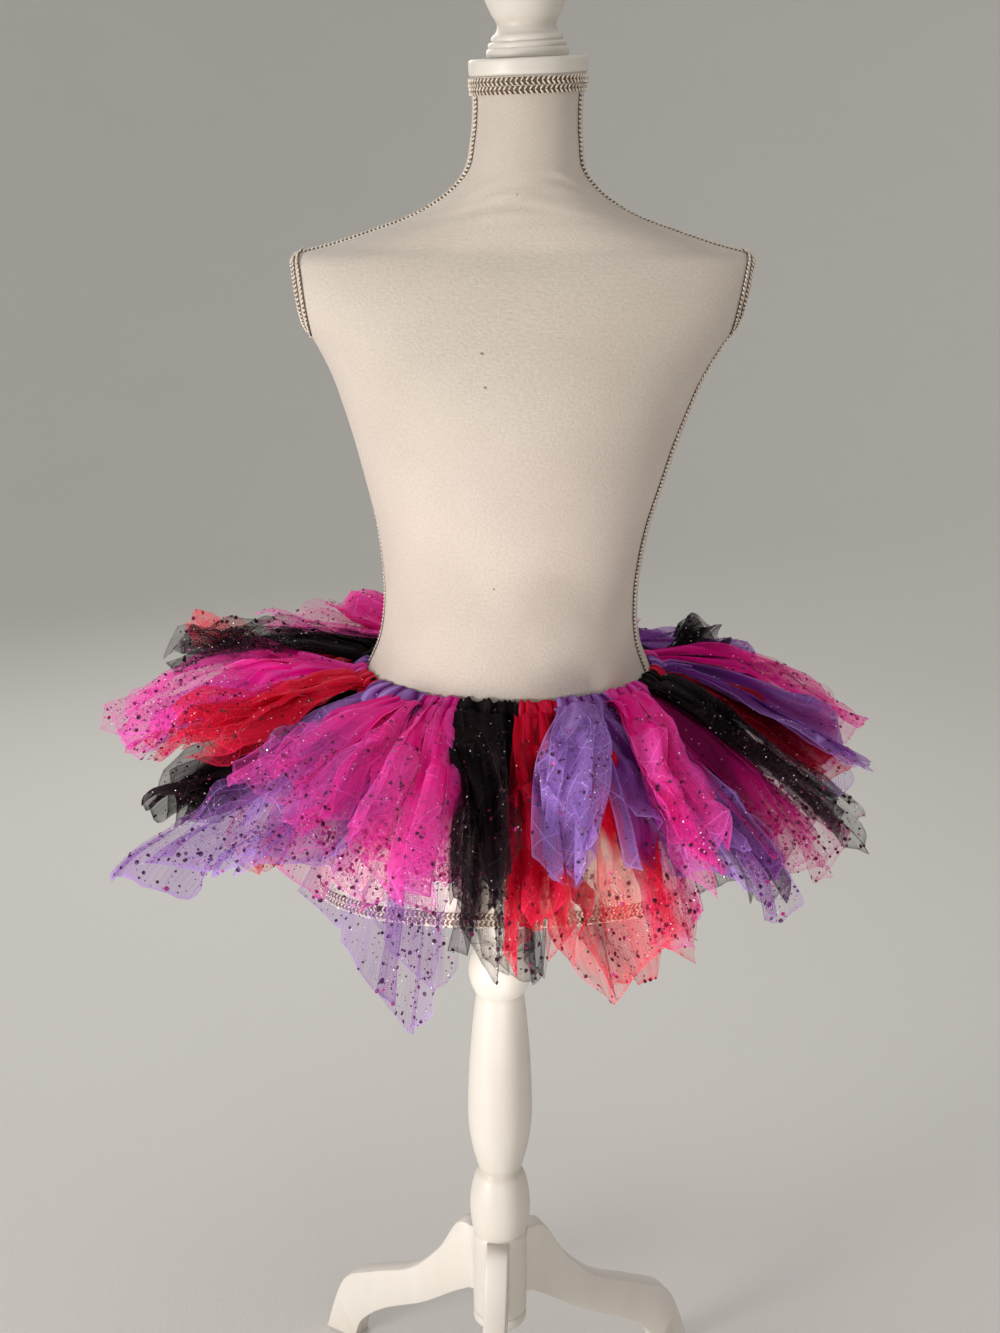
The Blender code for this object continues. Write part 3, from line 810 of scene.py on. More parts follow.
foot = {
    "azimuths": {"foot_front": 266, "foot_right": 26, "foot_left": 146},
    "thickness": 0.022,
    "hubRadius": 0.0266,
    # distance from the axis and height, out along the top and back along the underside
    "edges": (
        (
            (0.0271, 0.192), (0.046, 0.189), (0.070, 0.150), (0.106, 0.114),
            (0.155, 0.091), (0.195, 0.066), (0.219, 0),
        ),
        ((0.180, 0), (0.170, 0.025), (0.140, 0.051), (0.090, 0.078), (0.052, 0.105), (0.0271, 0.121)),
    ),
    "steps": 9,
    "round": 0.0026,
    "soleHeight": 0.004,
    "jointReach": 0.030,
    "rootReach": 0.0275,
    "wornHeight": 0.010,
}


# A smooth curve through the points, with the given steps from each to the next
def curveThrough(points, steps):
    ends = np.array([points[0], *points, points[-1]])
    curve = []
    for a, b, c, d in zip(ends, ends[1:], ends[2:], ends[3:]):
        for step in range(steps):
            t = step / steps
            curve.append(b + 0.5 * t * (c - a + t * (2 * a - 5 * b + 4 * c - d + t * (3 * (b - c) + d - a))))
    return [*curve, ends[-1]]


def makeFeet(material):
    outline = np.array([point for edge in foot["edges"] for point in curveThrough(edge, foot["steps"])])
    half, rounding = foot["thickness"] / 2, foot["round"]
    after, before = np.roll(outline, -1, axis=0), np.roll(outline, 1, axis=0)
    edge = after - before
    edge /= np.linalg.norm(edge, axis=1)[:, None]
    inward = np.stack([edge[:, 1], -edge[:, 0]], axis=1)
    # the sole and the joint stay whole
    still = (outline[:, 1] < foot["soleHeight"]) | (outline[:, 0] < foot["jointReach"])
    inward[still] = 0
    profile = [(-half, 1.0), (-half + rounding * 0.3, 0.29), (-half + rounding, 0.0)]
    profile += [(half - rounding, 0.0), (half - rounding * 0.3, 0.29), (half, 1.0)]
    for name, azimuth in foot["azimuths"].items():
        turn = Matrix.Rotation(math.radians(azimuth), 4, "Z")
        rings = []
        for side, drawn in profile:
            flat = outline + inward * rounding * drawn
            seat = math.sqrt(foot["hubRadius"] ** 2 - side**2)
            rings.append([(seat if rho < foot["rootReach"] else rho, side, height) for rho, height in flat])
        rows, columns = len(rings), len(outline)
        points = np.array([turn @ Vector(point) for ring in rings for point in ring]) + standAxis
        faces = gridFaces(rows, columns, around=True).tolist()
        faces.append(tuple(reversed(range(columns))))
        faces.append(tuple(range((rows - 1) * columns, rows * columns)))
        worn = np.clip((foot["wornHeight"] - outline[:, 1]) / foot["wornHeight"], 0, 1)
        hollow = np.tile(worn * 0.8, rows)
        piece = addPiece(f"painted_{name}", points, faces, material, attributes={"hollow": hollow})
        piece.data.set_sharp_from_angle(angle=math.radians(38))
        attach(piece, "root")
        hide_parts(name)


def makeStand():
    material = makePaint()
    upright = Matrix.Translation(Vector(standAxis))
    turnedPiece("stand_hub", material, upright)
    turnedPiece("stand_post", material, upright)
    aboveCap = turning["capHeight"] + 2 * turning["clearance"]
    for name, rise in (("neck_cap", turning["clearance"]), ("neck_finial", aboveCap)):
        lean = rise * math.sin(-form["neckTilt"])
        spot = (formMiddle(form["neckTop"]) + lean, 0, form["neckTop"] + rise * math.cos(form["neckTilt"]))
        seat = Matrix.Translation(Vector(standAxis) + Vector(spot)) @ Matrix.Rotation(-form["neckTilt"], 4, "Y")
        turnedPiece(name, material, seat)
    makeFeet(material)
    print("stand painted")


makeStand()


# The waistband

band = {
    "height": 0.775,
    "rise": 0.006,
    "halfWidth": 0.006,
    "offset": 0.0008,
    "thickness": 0.0022,
    "sides": 480,
    "ripple": 0.0006,
    "ripples": 75,
    "yarn": colour(0.016, 0.013, 0.015),
    "worn": colour(0.06, 0.05, 0.055),
    "ribPitch": 0.0012,
    "aroundScale": 0.12,  # metres of elastic for one radian
    # depth from the inner face and height from the middle, as shares of the thickness and the half width
    "outline": (
        (0.0, -0.82), (0.25, -1.0), (0.75, -1.0), (1.0, -0.82), (1.0, -0.4), (1.0, 0.0),
        (1.0, 0.4), (1.0, 0.82), (0.75, 1.0), (0.25, 1.0), (0.0, 0.82), (0.0, 0.0),
    ),
}


def bandMiddle(azimuth):
    return band["height"] + band["rise"] * np.sin(azimuth)


def elasticCloth():
    finish = Finish("elastic_rib")
    up = finish.parts(finish.cloth())[1]
    rib = (up * (math.tau / band["ribPitch"])).sine()
    fuzz = finish.noise(finish.cloth(), 900.0, 2.0, flat=True)
    tone = finish.blend((rib * 0.25 + fuzz * 0.6 - 0.1).limited(), band["yarn"], band["worn"])
    normal = finish.bump(rib * 0.6 + fuzz * 0.5, 0.0005, 0.9)
    return finish.done(finish.surface(tone, fuzz * 0.15 + 0.7, normal, Sheen_Weight=0.3))


def makeWaistband():
    turns = np.linspace(0, math.tau, band["sides"], endpoint=False)
    ripple = band["ripple"] * np.sin(turns * band["ripples"] + 1.5 * np.sin(turns * 7))
    rings, uvs = [], []
    for depth, edge in band["outline"]:
        outside = band["offset"] + depth * band["thickness"] + np.where(edge > 0.5, np.abs(ripple), 0)
        height = bandMiddle(turns) + edge * band["halfWidth"]
        x, y = formPoint(turns, height, outside)
        rings.append(np.stack([x, y, height + (ripple if edge > 0.5 else 0)], axis=1) + standAxis)
        flat = (turns * band["aroundScale"], np.full(band["sides"], edge * band["halfWidth"]))
        uvs.append(np.stack(flat, axis=1))
    # closed from the last ring back to the first
    count, columns = len(rings), band["sides"]
    faces = gridFaces(count + 1, columns, around=True) % (count * columns)
    points, faces, uvs = np.concatenate(rings), faces.tolist(), np.concatenate(uvs)
    piece = addPiece("elastic_waistband", points, faces, elasticCloth(), uvs)
    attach(piece, "root")
    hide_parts("waistband")
    print("waistband set on the waist")


makeWaistband()


# The skirt's strips

skirt = {
    "droopRun": 0.25,
    "droopLimit": 1.3,
    "droopSteps": 12,
    # azimuth, droop at the band and at droopRun, in degrees
    "droops": np.array((
        (0, 8, 36), (45, 2, 26), (90, -4, 20), (135, -4, 18), (180, -2, 24),
        (225, 8, 42), (270, 20, 62), (315, 12, 50), (360, 8, 36),
    ), dtype=float),
    "knotLength": 0.018,
    "fanRun": 0.13,
    "layerStart": 0.0075,
    "layerGrowth": 0.13,
    "waveStart": 0.0015,
    "waveGrowth": 0.046,
    "layers": {"upper": 1, "middle": 0, "lower": -1},
    "clothWidth": 0.15,
    "knotTakes": 0.03,  # cloth that goes round the band
    "rows": 56,
    "columnStep": 0.0235,
    "lineGap": 0.0040,  # half the width of a fold's line, as a share of the cloth's width
    "gathers": 8,
    "gatherHeight": 0.0024,
    "gatherRun": 0.045,
    "rootOverlap": 1.6,  # how far a tail runs under its neighbours at the band, in degrees
    "streaks": (150.0, 8.0),  # the gathers' fine streaks, across and along the cloth
    "creasePitches": (0.058, 0.041, 0.083),
    "creaseSlopes": (0.42, 0.36, 0.40),
    "tailStart": 0.003,
    "rowCrowding": 1.05,
    "openRun": 0.17,  # from the knot to where the folds have opened
    "freeRun": 0.10,  # from the knot to where the cloth drifts and wanders freely
    "usualWidth": 0.92,  # of a tail, as a share of its spread
    "waistRadius": 0.115,
    "lengthOut": 0.85,  # how far out a tail reaches, as a share of its length
    "fullness": (1.05, 2.3),
    "foldedShare": (0.26, 0.06, 0.42),  # of a tail's width: least, more with its fullness, most
    "foldCounts": (3, 5),
    "foldWidths": (0.20, 0.50),
    "foldDrift": 0.16,
    "foldSlopes": (0.010, 0.022),
    "openings": (-0.55, 0.45),
    "secondShorter": (0.04, 0.15),  # the second tail, as a share
    "tailWidths": (0.93, 0.89),  # of the two tails, as shares of the spread
    "slips": (-0.10, 0.12),  # how far they lie to the side, as shares of the spread
    "secondBelow": 0.0020,
    "secondFall": 0.030,
    # how the cut end zigzags and frays, and how crumpling pulls and shifts the cloth
    "zigzag": 0.055,
    "fray": 0.0020,
    "pull": 0.0075,
    "wander": 0.030,
    "crumpleWander": 0.045,
    "foldLeast": 0.0014,
    "creaseAngles": (0.25, 0.95),
    "creaseBend": 0.020,
    "creaseRun": 0.07,  # from the knot to where the creases are at their full height
    "curls": (-0.010, 0.014),
    "curlStart": 0.72,
    # how strong the lines are along a tail's sides and cut end, and where it is thick or a single layer
    "sideLine": 0.9,
    "endLine": 0.6,
    "patches": 0.22,
    "crumplePatches": 0.20,
    "singleRun": 0.05,
    "singleWidth": 0.16,
    "singleThick": 0.42,
    # painted shade and light: the lower layers, all tails a little and the second tail are darker, the upper
    # layers lighter
    "layerShade": 0.13,
    "allShade": 0.07,
    "secondShade": 0.12,
    "knotRows": 20,
    "knotColumns": 34,
    "knotStart": 150,
    "knotTurn": 285,
    "knotOut": 0.0030,
    "knotDepth": 0.0088,
    "knotHeight": 0.0098,
    "frills": {"black": 0.0017, "rest": 0.0005},
    # azimuth and crumpling, from smooth long swaths on the right to a tangle at the front
    "crumples": np.array((
        (0, 0.45), (60, 0.7), (120, 0.8), (180, 1.0), (240, 1.1),
        (268, 1.5), (290, 1.1), (320, 0.55), (360, 0.45),
    )),
    # how far from its knot each colour's gathered part reaches
    "thickRuns": {"pink": 0.075, "purple": 0.075, "red": 0.085, "black": 0.110},
    "seed": 411,
}
stripColumns = (
    "tint", "layer", "knotAt", "tip", "spread", "length", "cut", "peak", "waves", "phase", "lift",
)
# Each strip's colour and layer, the azimuths of its knot and tip and how far it spreads to each side of the
# tip, in degrees, its length, how slanted its end is cut and where across the end is longest, how many waves
# it has and where they start, and how far its end is lifted
strips = (
    ("purple", "upper", -1, -12, 10, 0.205, 0.2, 0.6, 1.5, 0.1, 0),
    ("purple", "lower", 7, 4, 12, 0.215, 0.25, 0.3, 1.8, 0.55, 0),
    ("pink", "middle", 15, 7, 14, 0.215, 0.22, 0.8, 2, 0.3, 0),
    ("black", "upper", 25, 30, 13, 0.16, 0.3, 0.5, 1.7, 0.85, -0.012),
    ("red", "lower", 34, 31, 13, 0.2, 0.2, 0.5, 1.9, 0.2, 0),
    ("purple", "middle", 43, 37, 14, 0.21, 0.24, 0.2, 1.8, 0.65, 0),
    ("pink", "upper", 53, 58, 14, 0.19, 0.22, 0.6, 2, 0.4, -0.03),
    ("pink", "lower", 62, 59, 13, 0.2, 0.26, 0.8, 1.7, 0.05, -0.024),
    ("black", "middle", 71, 67, 14, 0.2, 0.2, 0.5, 2, 0.75, -0.028),
    ("red", "upper", 81, 89, 15, 0.185, 0.24, 0.3, 1.8, 0.15, 0),
    ("purple", "lower", 90, 88, 14, 0.205, 0.22, 0.4, 2, 0.5, 0),
    ("pink", "middle", 99, 98, 15, 0.21, 0.26, 0.7, 1.9, 0.9, 0),
    ("pink", "upper", 109, 120, 13, 0.165, 0.22, 0.6, 1.7, 0.25, -0.012),
    ("red", "lower", 118, 117, 13, 0.2, 0.2, 0.2, 1.8, 0.6, 0),
    ("pink", "middle", 127, 129, 12, 0.245, 0.25, 0.7, 2, 0.35, 0.002),
    ("black", "lower", 137, 144, 13, 0.205, 0.22, 0.7, 1.9, 0.8, 0),
    ("red", "middle", 147, 147, 7, 0.25, 0.3, 0.5, 1.5, 0.1, 0.012),
    ("black", "upper", 163, 167, 13, 0.19, 0.25, 0.6, 2, 0.45, 0.004),
    ("purple", "lower", 175, 176, 14, 0.22, 0.22, 0.6, 1.8, 0.7, 0),
    ("pink", "middle", 186, 183, 15, 0.25, 0.28, 0.4, 2, 0.2, 0),
    ("red", "upper", 196, 202, 14, 0.205, 0.2, 0.6, 1.8, 0.95, 0),
    ("black", "lower", 205, 203, 8, 0.24, 0.3, 0.4, 1.5, 0.3, 0),
    ("red", "lower", 214, 221, 9, 0.24, 0.24, 0.5, 1.6, 0.65, 0),
    ("purple", "middle", 223, 213, 13, 0.3, 0.66, 0.5, 2, 0.05, 0),
    ("pink", "upper", 232, 230, 14, 0.215, 0.24, 0.5, 2, 0.55, 0),
    ("pink", "middle", 240, 244, 15, 0.225, 0.2, 0.4, 2, 0.85, 0),
    ("pink", "upper", 248, 253, 8, 0.2, 0.16, 0.7, 1.5, 0.15, 0),
    ("purple", "lower", 255, 248, 12, 0.31, 0.4, 0.8, 1.6, 0.4, 0),
    ("black", "upper", 263, 269, 7, 0.215, 0.14, 0.5, 1.5, 0.75, 0),
    ("black", "lower", 270, 268, 9, 0.255, 0.2, 0.8, 1.5, 0.25, 0),
    ("red", "middle", 277, 272, 10, 0.235, 0.24, 0.4, 1.8, 0.6, 0),
    ("red", "lower", 284, 288, 8, 0.285, 0.3, 0.6, 1.5, 0.9, 0),
    ("purple", "upper", 291, 283, 7, 0.165, 0.18, 0.5, 1.5, 0.35, 0),
    ("pink", "lower", 298, 301, 5, 0.25, 0.22, 0.5, 1.2, 0.7, 0),
    ("purple", "middle", 305, 300, 16, 0.255, 0.22, 0.7, 2, 0.1, 0),
    ("pink", "upper", 312, 305, 14, 0.21, 0.2, 0.6, 2, 0.5, 0),
    ("black", "lower", 320, 316, 9, 0.24, 0.24, 0.7, 1.5, 0.8, 0),
    ("pink", "middle", 328, 324, 7, 0.225, 0.24, 0.3, 1.6, 0.2, 0),
    ("pink", "lower", 335, 338, 12, 0.245, 0.22, 0.6, 1.9, 0.6, 0),
    ("black", "upper", 343, 329, 8, 0.235, 0.2, 0.5, 1.5, 0.95, 0),
    ("red", "middle", 351, 341, 9, 0.215, 0.22, 0.5, 1.8, 0.3, 0),
)
# How single strips differ from the usual one: their number, then shares of their width, reach, thick part,
# knot and crumpling, degrees that they turn and that their knot spreads to each side, how far their middle
# is raised, how late a lifted end lifts, how light their tone is, and their own cut and peak; the tone also
# paints light and shade, lighter on most strips at the left, where the light falls, and darker at the right
usual = {
    "width": 1, "reach": 1, "thick": 1, "knot": 1, "calm": 1,
    "turn": 0, "from": 0, "to": 0, "raise": 0, "liftLate": 2, "tone": 0,
}
manner = {
    1: {"thick": 1.6, "cut": 0.42, "peak": 0.2, "turn": -3, "width": 0.95, "tone": -0.25, "calm": 0.7},
    3: {"thick": 1.1, "tone": -0.55, "raise": 0.012},
    4: {"width": 0.72, "reach": 0.64, "thick": 0.42, "raise": -0.014},
    6: {"reach": 0.72},
    7: {"reach": 0.45, "raise": -0.045, "turn": 7},
    8: {"reach": 0.70, "raise": -0.020},
    13: {"thick": 1.5, "calm": 0.4, "cut": 0.10, "raise": -0.014},
    15: {"thick": 0.3, "calm": 0.35, "raise": -0.006},
    17: {"liftLate": 8, "raise": -0.024, "width": 0.55, "reach": 0.95, "thick": 0.5, "turn": 7},
    18: {"raise": 0.004, "thick": 0.22, "width": 0.9},
    20: {"raise": 0.012, "thick": 0.8, "tone": 0.18},
    21: {"width": 0.52, "turn": 4, "to": 4.5, "reach": 0.97, "thick": 0.8, "cut": 0.34, "tone": 0.25},
    22: {"knot": 0.62, "width": 0.9, "thick": 1.7},
    23: {"from": -4.5, "thick": 0.6, "reach": 0.88},
    24: {
        "thick": 1.3, "from": -8, "to": 9, "turn": 16, "width": 1.25, "reach": 0.95, "peak": 0.0, "cut": 0.3,
        "calm": 0.95, "knot": 2.0, "tone": 0.6,
    },
    25: {"thick": 0.52, "knot": 0.62, "calm": 0.8, "tone": 0.2, "reach": 0.86},
    26: {"thick": 0.75, "tone": 0.16},
    27: {"thick": 0.85, "tone": 0.25},
    28: {"thick": 0.35, "knot": 0.55, "calm": 0.35},
    29: {"calm": 1.1, "turn": -3.5, "width": 0.75, "from": -7.5, "thick": 1.2},
    30: {"thick": 0.8, "width": 1.05, "calm": 1.3},
    31: {"turn": 3, "width": 0.55, "raise": 0.006, "thick": 1.7, "tone": -0.1},
    32: {"turn": 1, "width": 1.4, "thick": 1.5, "calm": 1.8, "tone": -0.15},
    33: {
        "tone": 0.9, "width": 1.1, "reach": 1.14, "thick": 0.24, "raise": 0.016, "to": 4, "turn": -1,
        "cut": 0.4, "peak": 0.42, "calm": 1.3,
    },
    34: {"knot": 0.55, "thick": 0.6},
    35: {
        "from": -4, "width": 0.85, "turn": 5, "thick": 1.7, "calm": 0.9, "tone": 0.05, "cut": 0.42,
        "peak": 0.9,
    },
    36: {
        "tone": 0.0, "thick": 0.95, "to": 5, "turn": -3, "width": 0.44, "reach": 1.08, "raise": 0.006,
        "cut": 0.5, "peak": 0.35, "calm": 1.3,
    },
    37: {"knot": 0.55, "raise": -0.008, "thick": 0.7},
    38: {"from": -4, "width": 1.3, "turn": -2, "thick": 1.4, "tone": -1.0},
    39: {"turn": -6, "width": 1.25, "knot": 0.75, "thick": 1.2, "tone": -0.9},
    40: {"from": -8, "turn": -3.5, "width": 0.28, "thick": 0.6},
    41: {"turn": 5, "width": 1.25, "raise": 0.008, "thick": 1.3, "reach": 0.86, "tone": -0.95},
}
tulle = {
    # thread colour where it lies thick, where it is thin or folded (which is also its painted highlight
    # colour), the light that it lets through, its painted shade colour in the hollows, and how far a single
    # layer covers what is behind it
    "threads": {
        "pink": (
            colour(0.92, 0.001, 0.30), colour(1.0, 0.17, 0.72),
            colour(1.0, 0.05, 0.52), colour(0.13, 0.001, 0.045), 0.19,
        ),
        "purple": (
            colour(0.19, 0.018, 0.25), colour(0.60, 0.38, 0.98),
            colour(0.42, 0.10, 0.58), colour(0.035, 0.004, 0.060), 0.21,
        ),
        "red": (
            colour(0.74, 0.001, 0.026), colour(0.98, 0.040, 0.130),
            colour(0.97, 0.012, 0.070), colour(0.16, 0.001, 0.008), 0.17,
        ),
        "black": (
            colour(0.0016, 0.0008, 0.0012), colour(0.038, 0.025, 0.032),
            colour(0.030, 0.006, 0.012), colour(0.0008, 0.0005, 0.0006), 0.27,
        ),
    },
    "netPitch": 0.0020,
    "netContrast": 0.15,
    "lineHalf": 0.00035,
    "lineStrength": 0.75,
    "through": 0.40,  # share of the light that the threads pass on
    "gloss": 0.049,
}


# A point of the skirt: out along its drooping surface from the band's outer face, then up from it
def skirtPlace(azimuth, out, up):
    azimuth, out, up = np.broadcast_arrays(azimuth, out, up)
    degrees = np.degrees(azimuth) % 360
    first, last = (np.radians(lookUp(skirt["droops"], degrees, column, soft=True)) for column in (1, 2))
    forward = np.maximum(out, 0.0)
    reach, fall = np.zeros(out.shape), np.zeros(out.shape)
    for step in range(skirt["droopSteps"]):
        passed = (step + 0.5) / skirt["droopSteps"] * forward
        droop = between(first, last, np.minimum(passed / skirt["droopRun"], skirt["droopLimit"]))
        reach += np.cos(droop) * out / skirt["droopSteps"]
        fall += np.sin(droop) * out / skirt["droopSteps"]
    droop = between(first, last, np.minimum(forward / skirt["droopRun"], skirt["droopLimit"]))
    freed = ease(out / (2 * skirt["knotLength"]))
    middle = bandMiddle(azimuth)
    height = middle - fall + between(1, np.cos(droop), freed) * up
    rootHeight = between(height, middle, freed)
    x, y = formPoint(azimuth, rootHeight, band["offset"] + band["thickness"])
    width = lookUp(form["sections"], rootHeight, 1)
    front, back = (lookUp(form["sections"], rootHeight, column) for column in (2, 3))
    depth = np.where(np.sin(azimuth) < 0, front, back)
    facing = np.arctan2(np.sin(azimuth) / depth, np.cos(azimuth) / width)
    turn = np.arctan2(np.sin(facing) + np.sin(azimuth), np.cos(facing) + np.cos(azimuth))
    reach += np.sin(droop) * up * freed
    return np.stack([x + np.cos(turn) * reach, y + np.sin(turn) * reach, height], axis=-1) + standAxis


def stripValues(number):
    return {**usual, **dict(zip(stripColumns, strips[number - 1])), **manner.get(number, {})}


# The two sides of a strip's knot; single knots spread over smaller ones beside them
def knotSides(own, number):
    knots = [strip[2] for strip in strips]
    around = [knots[-1] - 360, *knots, knots[0] + 360]
    before, middle, after = around[number - 1 : number + 2]
    return math.radians((before + middle) / 2 + own["from"]), math.radians((middle + after) / 2 + own["to"])


# A slow uneven drift over a sheet, about -1 to 1
def drift(draw, across, along, waves):
    total = 0.0
    for _ in range(3):
        turn = draw.uniform(0.4, 1.0, 2) * waves * draw.choice((-1, 1), 2)
        total = total + np.sin(across * turn[0] * 6.3 + along * turn[1] * 6.3 + draw.uniform(0, 6.3))
    return total / 2.2


# One tail: a strip of cloth that is gathered at its knot and folded over itself on the way out
def tailSheet(own, sides, tail, draw):
    length, level = own["length"], skirt["layers"][own["layer"]]
    crumple = float(lookUp(skirt["crumples"], own["tip"] % 360, 1)) * own["calm"]
    spread, tip = own["spread"] * own["width"], own["tip"] + own["turn"]
    # narrow tails keep more of their width folded over
    tipRadius = skirt["waistRadius"] + skirt["lengthOut"] * length
    tipWidth = 2 * math.radians(spread) * skirt["usualWidth"] * tipRadius
    fullness = float(np.clip(skirt["clothWidth"] / tipWidth, *skirt["fullness"]))
    least, more, most = skirt["foldedShare"]
    back = min(least + more * fullness, most)
    folds = int(draw.integers(*skirt["foldCounts"]))
    widths = draw.uniform(*skirt["foldWidths"], folds)
    widths *= back / widths.sum()
    centres = (np.arange(folds) + 0.5 + draw.uniform(-1, 1, folds) * skirt["foldDrift"]) / folds
    lines = np.sort(np.concatenate([centres - widths / 2, centres + widths / 2]))
    gap = skirt["lineGap"]
    stops = [0.0, gap * 2]
    for line in lines:
        stops += [line - gap, line, line + gap]
    stops += [1 - gap * 2, 1.0]
    across = [0.0]
    for start, end in zip(stops, stops[1:]):
        pieces = max(1, math.ceil((end - start) / skirt["columnStep"]))
        across += list(np.linspace(start, end, pieces + 1)[1:])
    across = np.array(across)
    middles, steps = (across[1:] + across[:-1]) / 2, np.diff(across)
    flips = draw.choice((-1.0, 1.0), folds)
    folded = (1 - back) * (fullness - 1) / (back * (fullness + 1))
    endings = np.clip(folded + draw.uniform(*skirt["openings"], folds), -0.8, 1.0)
    steady = np.concatenate([[0.0], np.repeat(flips, 2) * np.tile((1.0, -1.0), folds), [0.0]])
    saw = np.interp(across, np.concatenate([[0.0], lines, [1.0]]), steady)
    rows = skirt["rows"]
    v = np.linspace(0, 1, rows)[:, None] ** skirt["rowCrowding"]
    start = skirt["tailStart"]
    reachShare = (1.0, 1.0 - draw.uniform(*skirt["secondShorter"]))[tail] * own["reach"]
    zig = np.interp(across, np.concatenate([[0], lines, [1]]), draw.uniform(-1, 1, 2 * folds + 2))
    rough = np.interp(across, np.linspace(0, 1, 30), draw.uniform(-1, 1, 30))
    # where each column lies across the tail, row by row: folded over near the knot, opening on the way out
    opened = ease((start + (length - start) * v - skirt["knotLength"]) / skirt["openRun"])
    backward = np.ones((rows, len(middles)))
    for centre, width, ending in zip(centres, widths, endings):
        inside = np.abs(middles - centre) < width / 2
        backward[:, inside] = -between(1.0, ending, opened)
    run = np.concatenate([np.zeros((rows, 1)), np.cumsum(backward * steps, axis=1)], axis=1)
    shown = np.clip(run / run[:, -1:], -0.03, 1.03)
    end = length * reachShare * (1 - own["cut"] * np.abs(shown[-1] - own["peak"]))
    end = end * (1 + skirt["zigzag"] * zig * (0.5 + 0.6 * crumple)) + skirt["fray"] * rough
    out = start + (end[None, :] - start) * v
    passed = np.maximum(out - skirt["knotLength"], 0.0)
    free = ease(passed / skirt["freeRun"])
    out = out + skirt["pull"] * crumple * drift(draw, across[None, :], v, 1.5) * free
    fan = 1 - (1 - np.minimum(passed / skirt["fanRun"], 1.0)) ** 2
    slip = skirt["slips"][tail] * spread * draw.uniform(0.5, 1.3)
    wide = spread * skirt["tailWidths"][tail]
    tipSides = [math.radians(tip + slip + side * wide) for side in (-1, 1)]
    rootSides = (sides[0] - math.radians(skirt["rootOverlap"]), sides[1] + math.radians(skirt["rootOverlap"]))
    left, right = (between(root, end, fan) for root, end in zip(rootSides, tipSides))
    wander = skirt["wander"] + skirt["crumpleWander"] * crumple
    wander = wander * drift(draw, across[None, :] * 0.8, v, 1.2) * free
    azimuth = between(left, right, shown + wander)
    wave = np.sin(math.tau * (own["waves"] * shown + own["phase"]))
    big = (skirt["waveStart"] + skirt["waveGrowth"] * passed) * wave
    up = level * (skirt["layerStart"] + skirt["layerGrowth"] * passed) + big
    up = up + own["lift"] * (out / length) ** own["liftLate"]
    up = up + own["raise"] * np.sin(math.pi * np.minimum(v * 1.1, 1))
    up = up - tail * skirt["secondBelow"] - tail * skirt["secondFall"] * passed
    up = up - level * skirt["layerStart"] * (1 - ease(out / skirt["knotLength"]))
    foldSlope = draw.uniform(*skirt["foldSlopes"]) * own["calm"]
    unevenly = 1 + 0.5 * drift(draw, across[None, :] * 0.5, v, 1.0)
    up = up + (skirt["foldLeast"] + foldSlope * passed * unevenly) * saw[None, :]
    gather = np.exp(-passed / skirt["gatherRun"])
    beat = across * skirt["gathers"] + 0.45 * np.sin(across * draw.uniform(6, 12) + draw.uniform(0, 6))
    pleat = np.abs((beat % 1.0) * 2 - 1) * 2 - 1
    up = up + skirt["gatherHeight"] * pleat[None, :] * (gather + 0.10 * np.exp(-passed / 0.12))
    # creases: three families of straight folds at a slant, which break the cloth into flat facets
    flatAcross = (across - 0.5)[None, :] * skirt["clothWidth"]
    creases = []
    for pitch, strength in zip(skirt["creasePitches"], skirt["creaseSlopes"]):
        angle = draw.choice((-1, 1)) * draw.uniform(*skirt["creaseAngles"])
        away = flatAcross * math.cos(angle) + out * math.sin(angle) + draw.uniform(0, 1)
        away = away + skirt["creaseBend"] * drift(draw, across[None, :], v, 1.2)
        creases.append(away / pitch)
        facet = np.abs((away / pitch) % 1.0 * 2 - 1) * 2 - 1
        fades = np.clip(0.55 + 0.6 * drift(draw, across[None, :], v, 1.1), 0, 1.3)
        up = up + facet * fades * strength * pitch * 0.25 * crumple * ease(passed / skirt["creaseRun"])
    curl = draw.uniform(*skirt["curls"]) * crumple
    curled = ease((v - skirt["curlStart"]) / (1 - skirt["curlStart"]))
    up = up + curl * curled * (1 + drift(draw, across[None, :], v * 0, 1.0))
    points = skirtPlace(azimuth, out, up)
    # lines along the folds, the sides and the cut end: the cloth is denser there and carries a painted
    # highlight
    edge = np.zeros((rows, len(across)))
    for line in lines:
        edge = np.maximum(edge, (np.abs(across - line) < gap * 0.5)[None, :] * 1.0)
    edge[:, 0] = edge[:, -1] = skirt["sideLine"]
    edge[-1, :] = skirt["endLine"]
    # thick where it is gathered, in patches further out, and single at its sides
    thickRun = skirt["thickRuns"][own["tint"]] * own["thick"]
    thick = np.exp(-(np.maximum(passed - 0.012, 0) / thickRun) ** 1.3)
    patches = np.clip(drift(draw, across[None, :] * 1.2, v * 1.2, 1.0), -0.6, 1)
    pastKnot = ease(passed / skirt["singleRun"])
    patchiness = skirt["patches"] + skirt["crumplePatches"] * crumple
    thick = thick + patchiness * patches * pastKnot * (1 - 0.7 * v)
    bySide = ease(np.minimum(across, 1 - across) / skirt["singleWidth"])[None, :]
    thick = thick * between(1.0, between(skirt["singleThick"], 1.0, bySide), pastKnot)
    # slow random changes of tone, with painted light and shade from each strip's own tone, its layer and its
    # tail, and painted shade in the hollows between the gathers at the knot, with painted light on their ridges
    toned = own["tone"] + skirt["layerShade"] * level - skirt["allShade"] - skirt["secondShade"] * tail
    tone = 0.8 * (1 - 0.6 * abs(toned)) * drift(draw, across[None, :] * 1.5, v * 0.9, 1.2) * free
    tone = tone + toned + (0.9 * pleat[None, :] - 0.25) * gather
    uvs = np.stack([np.broadcast_to(flatAcross, out.shape), out], axis=-1)
    flatArea = float(((end[1:] + end[:-1]) / 2 * steps).sum())
    return points, uvs, edge, np.clip(thick, 0, 1), np.clip(tone, -1, 1), creases, flatArea


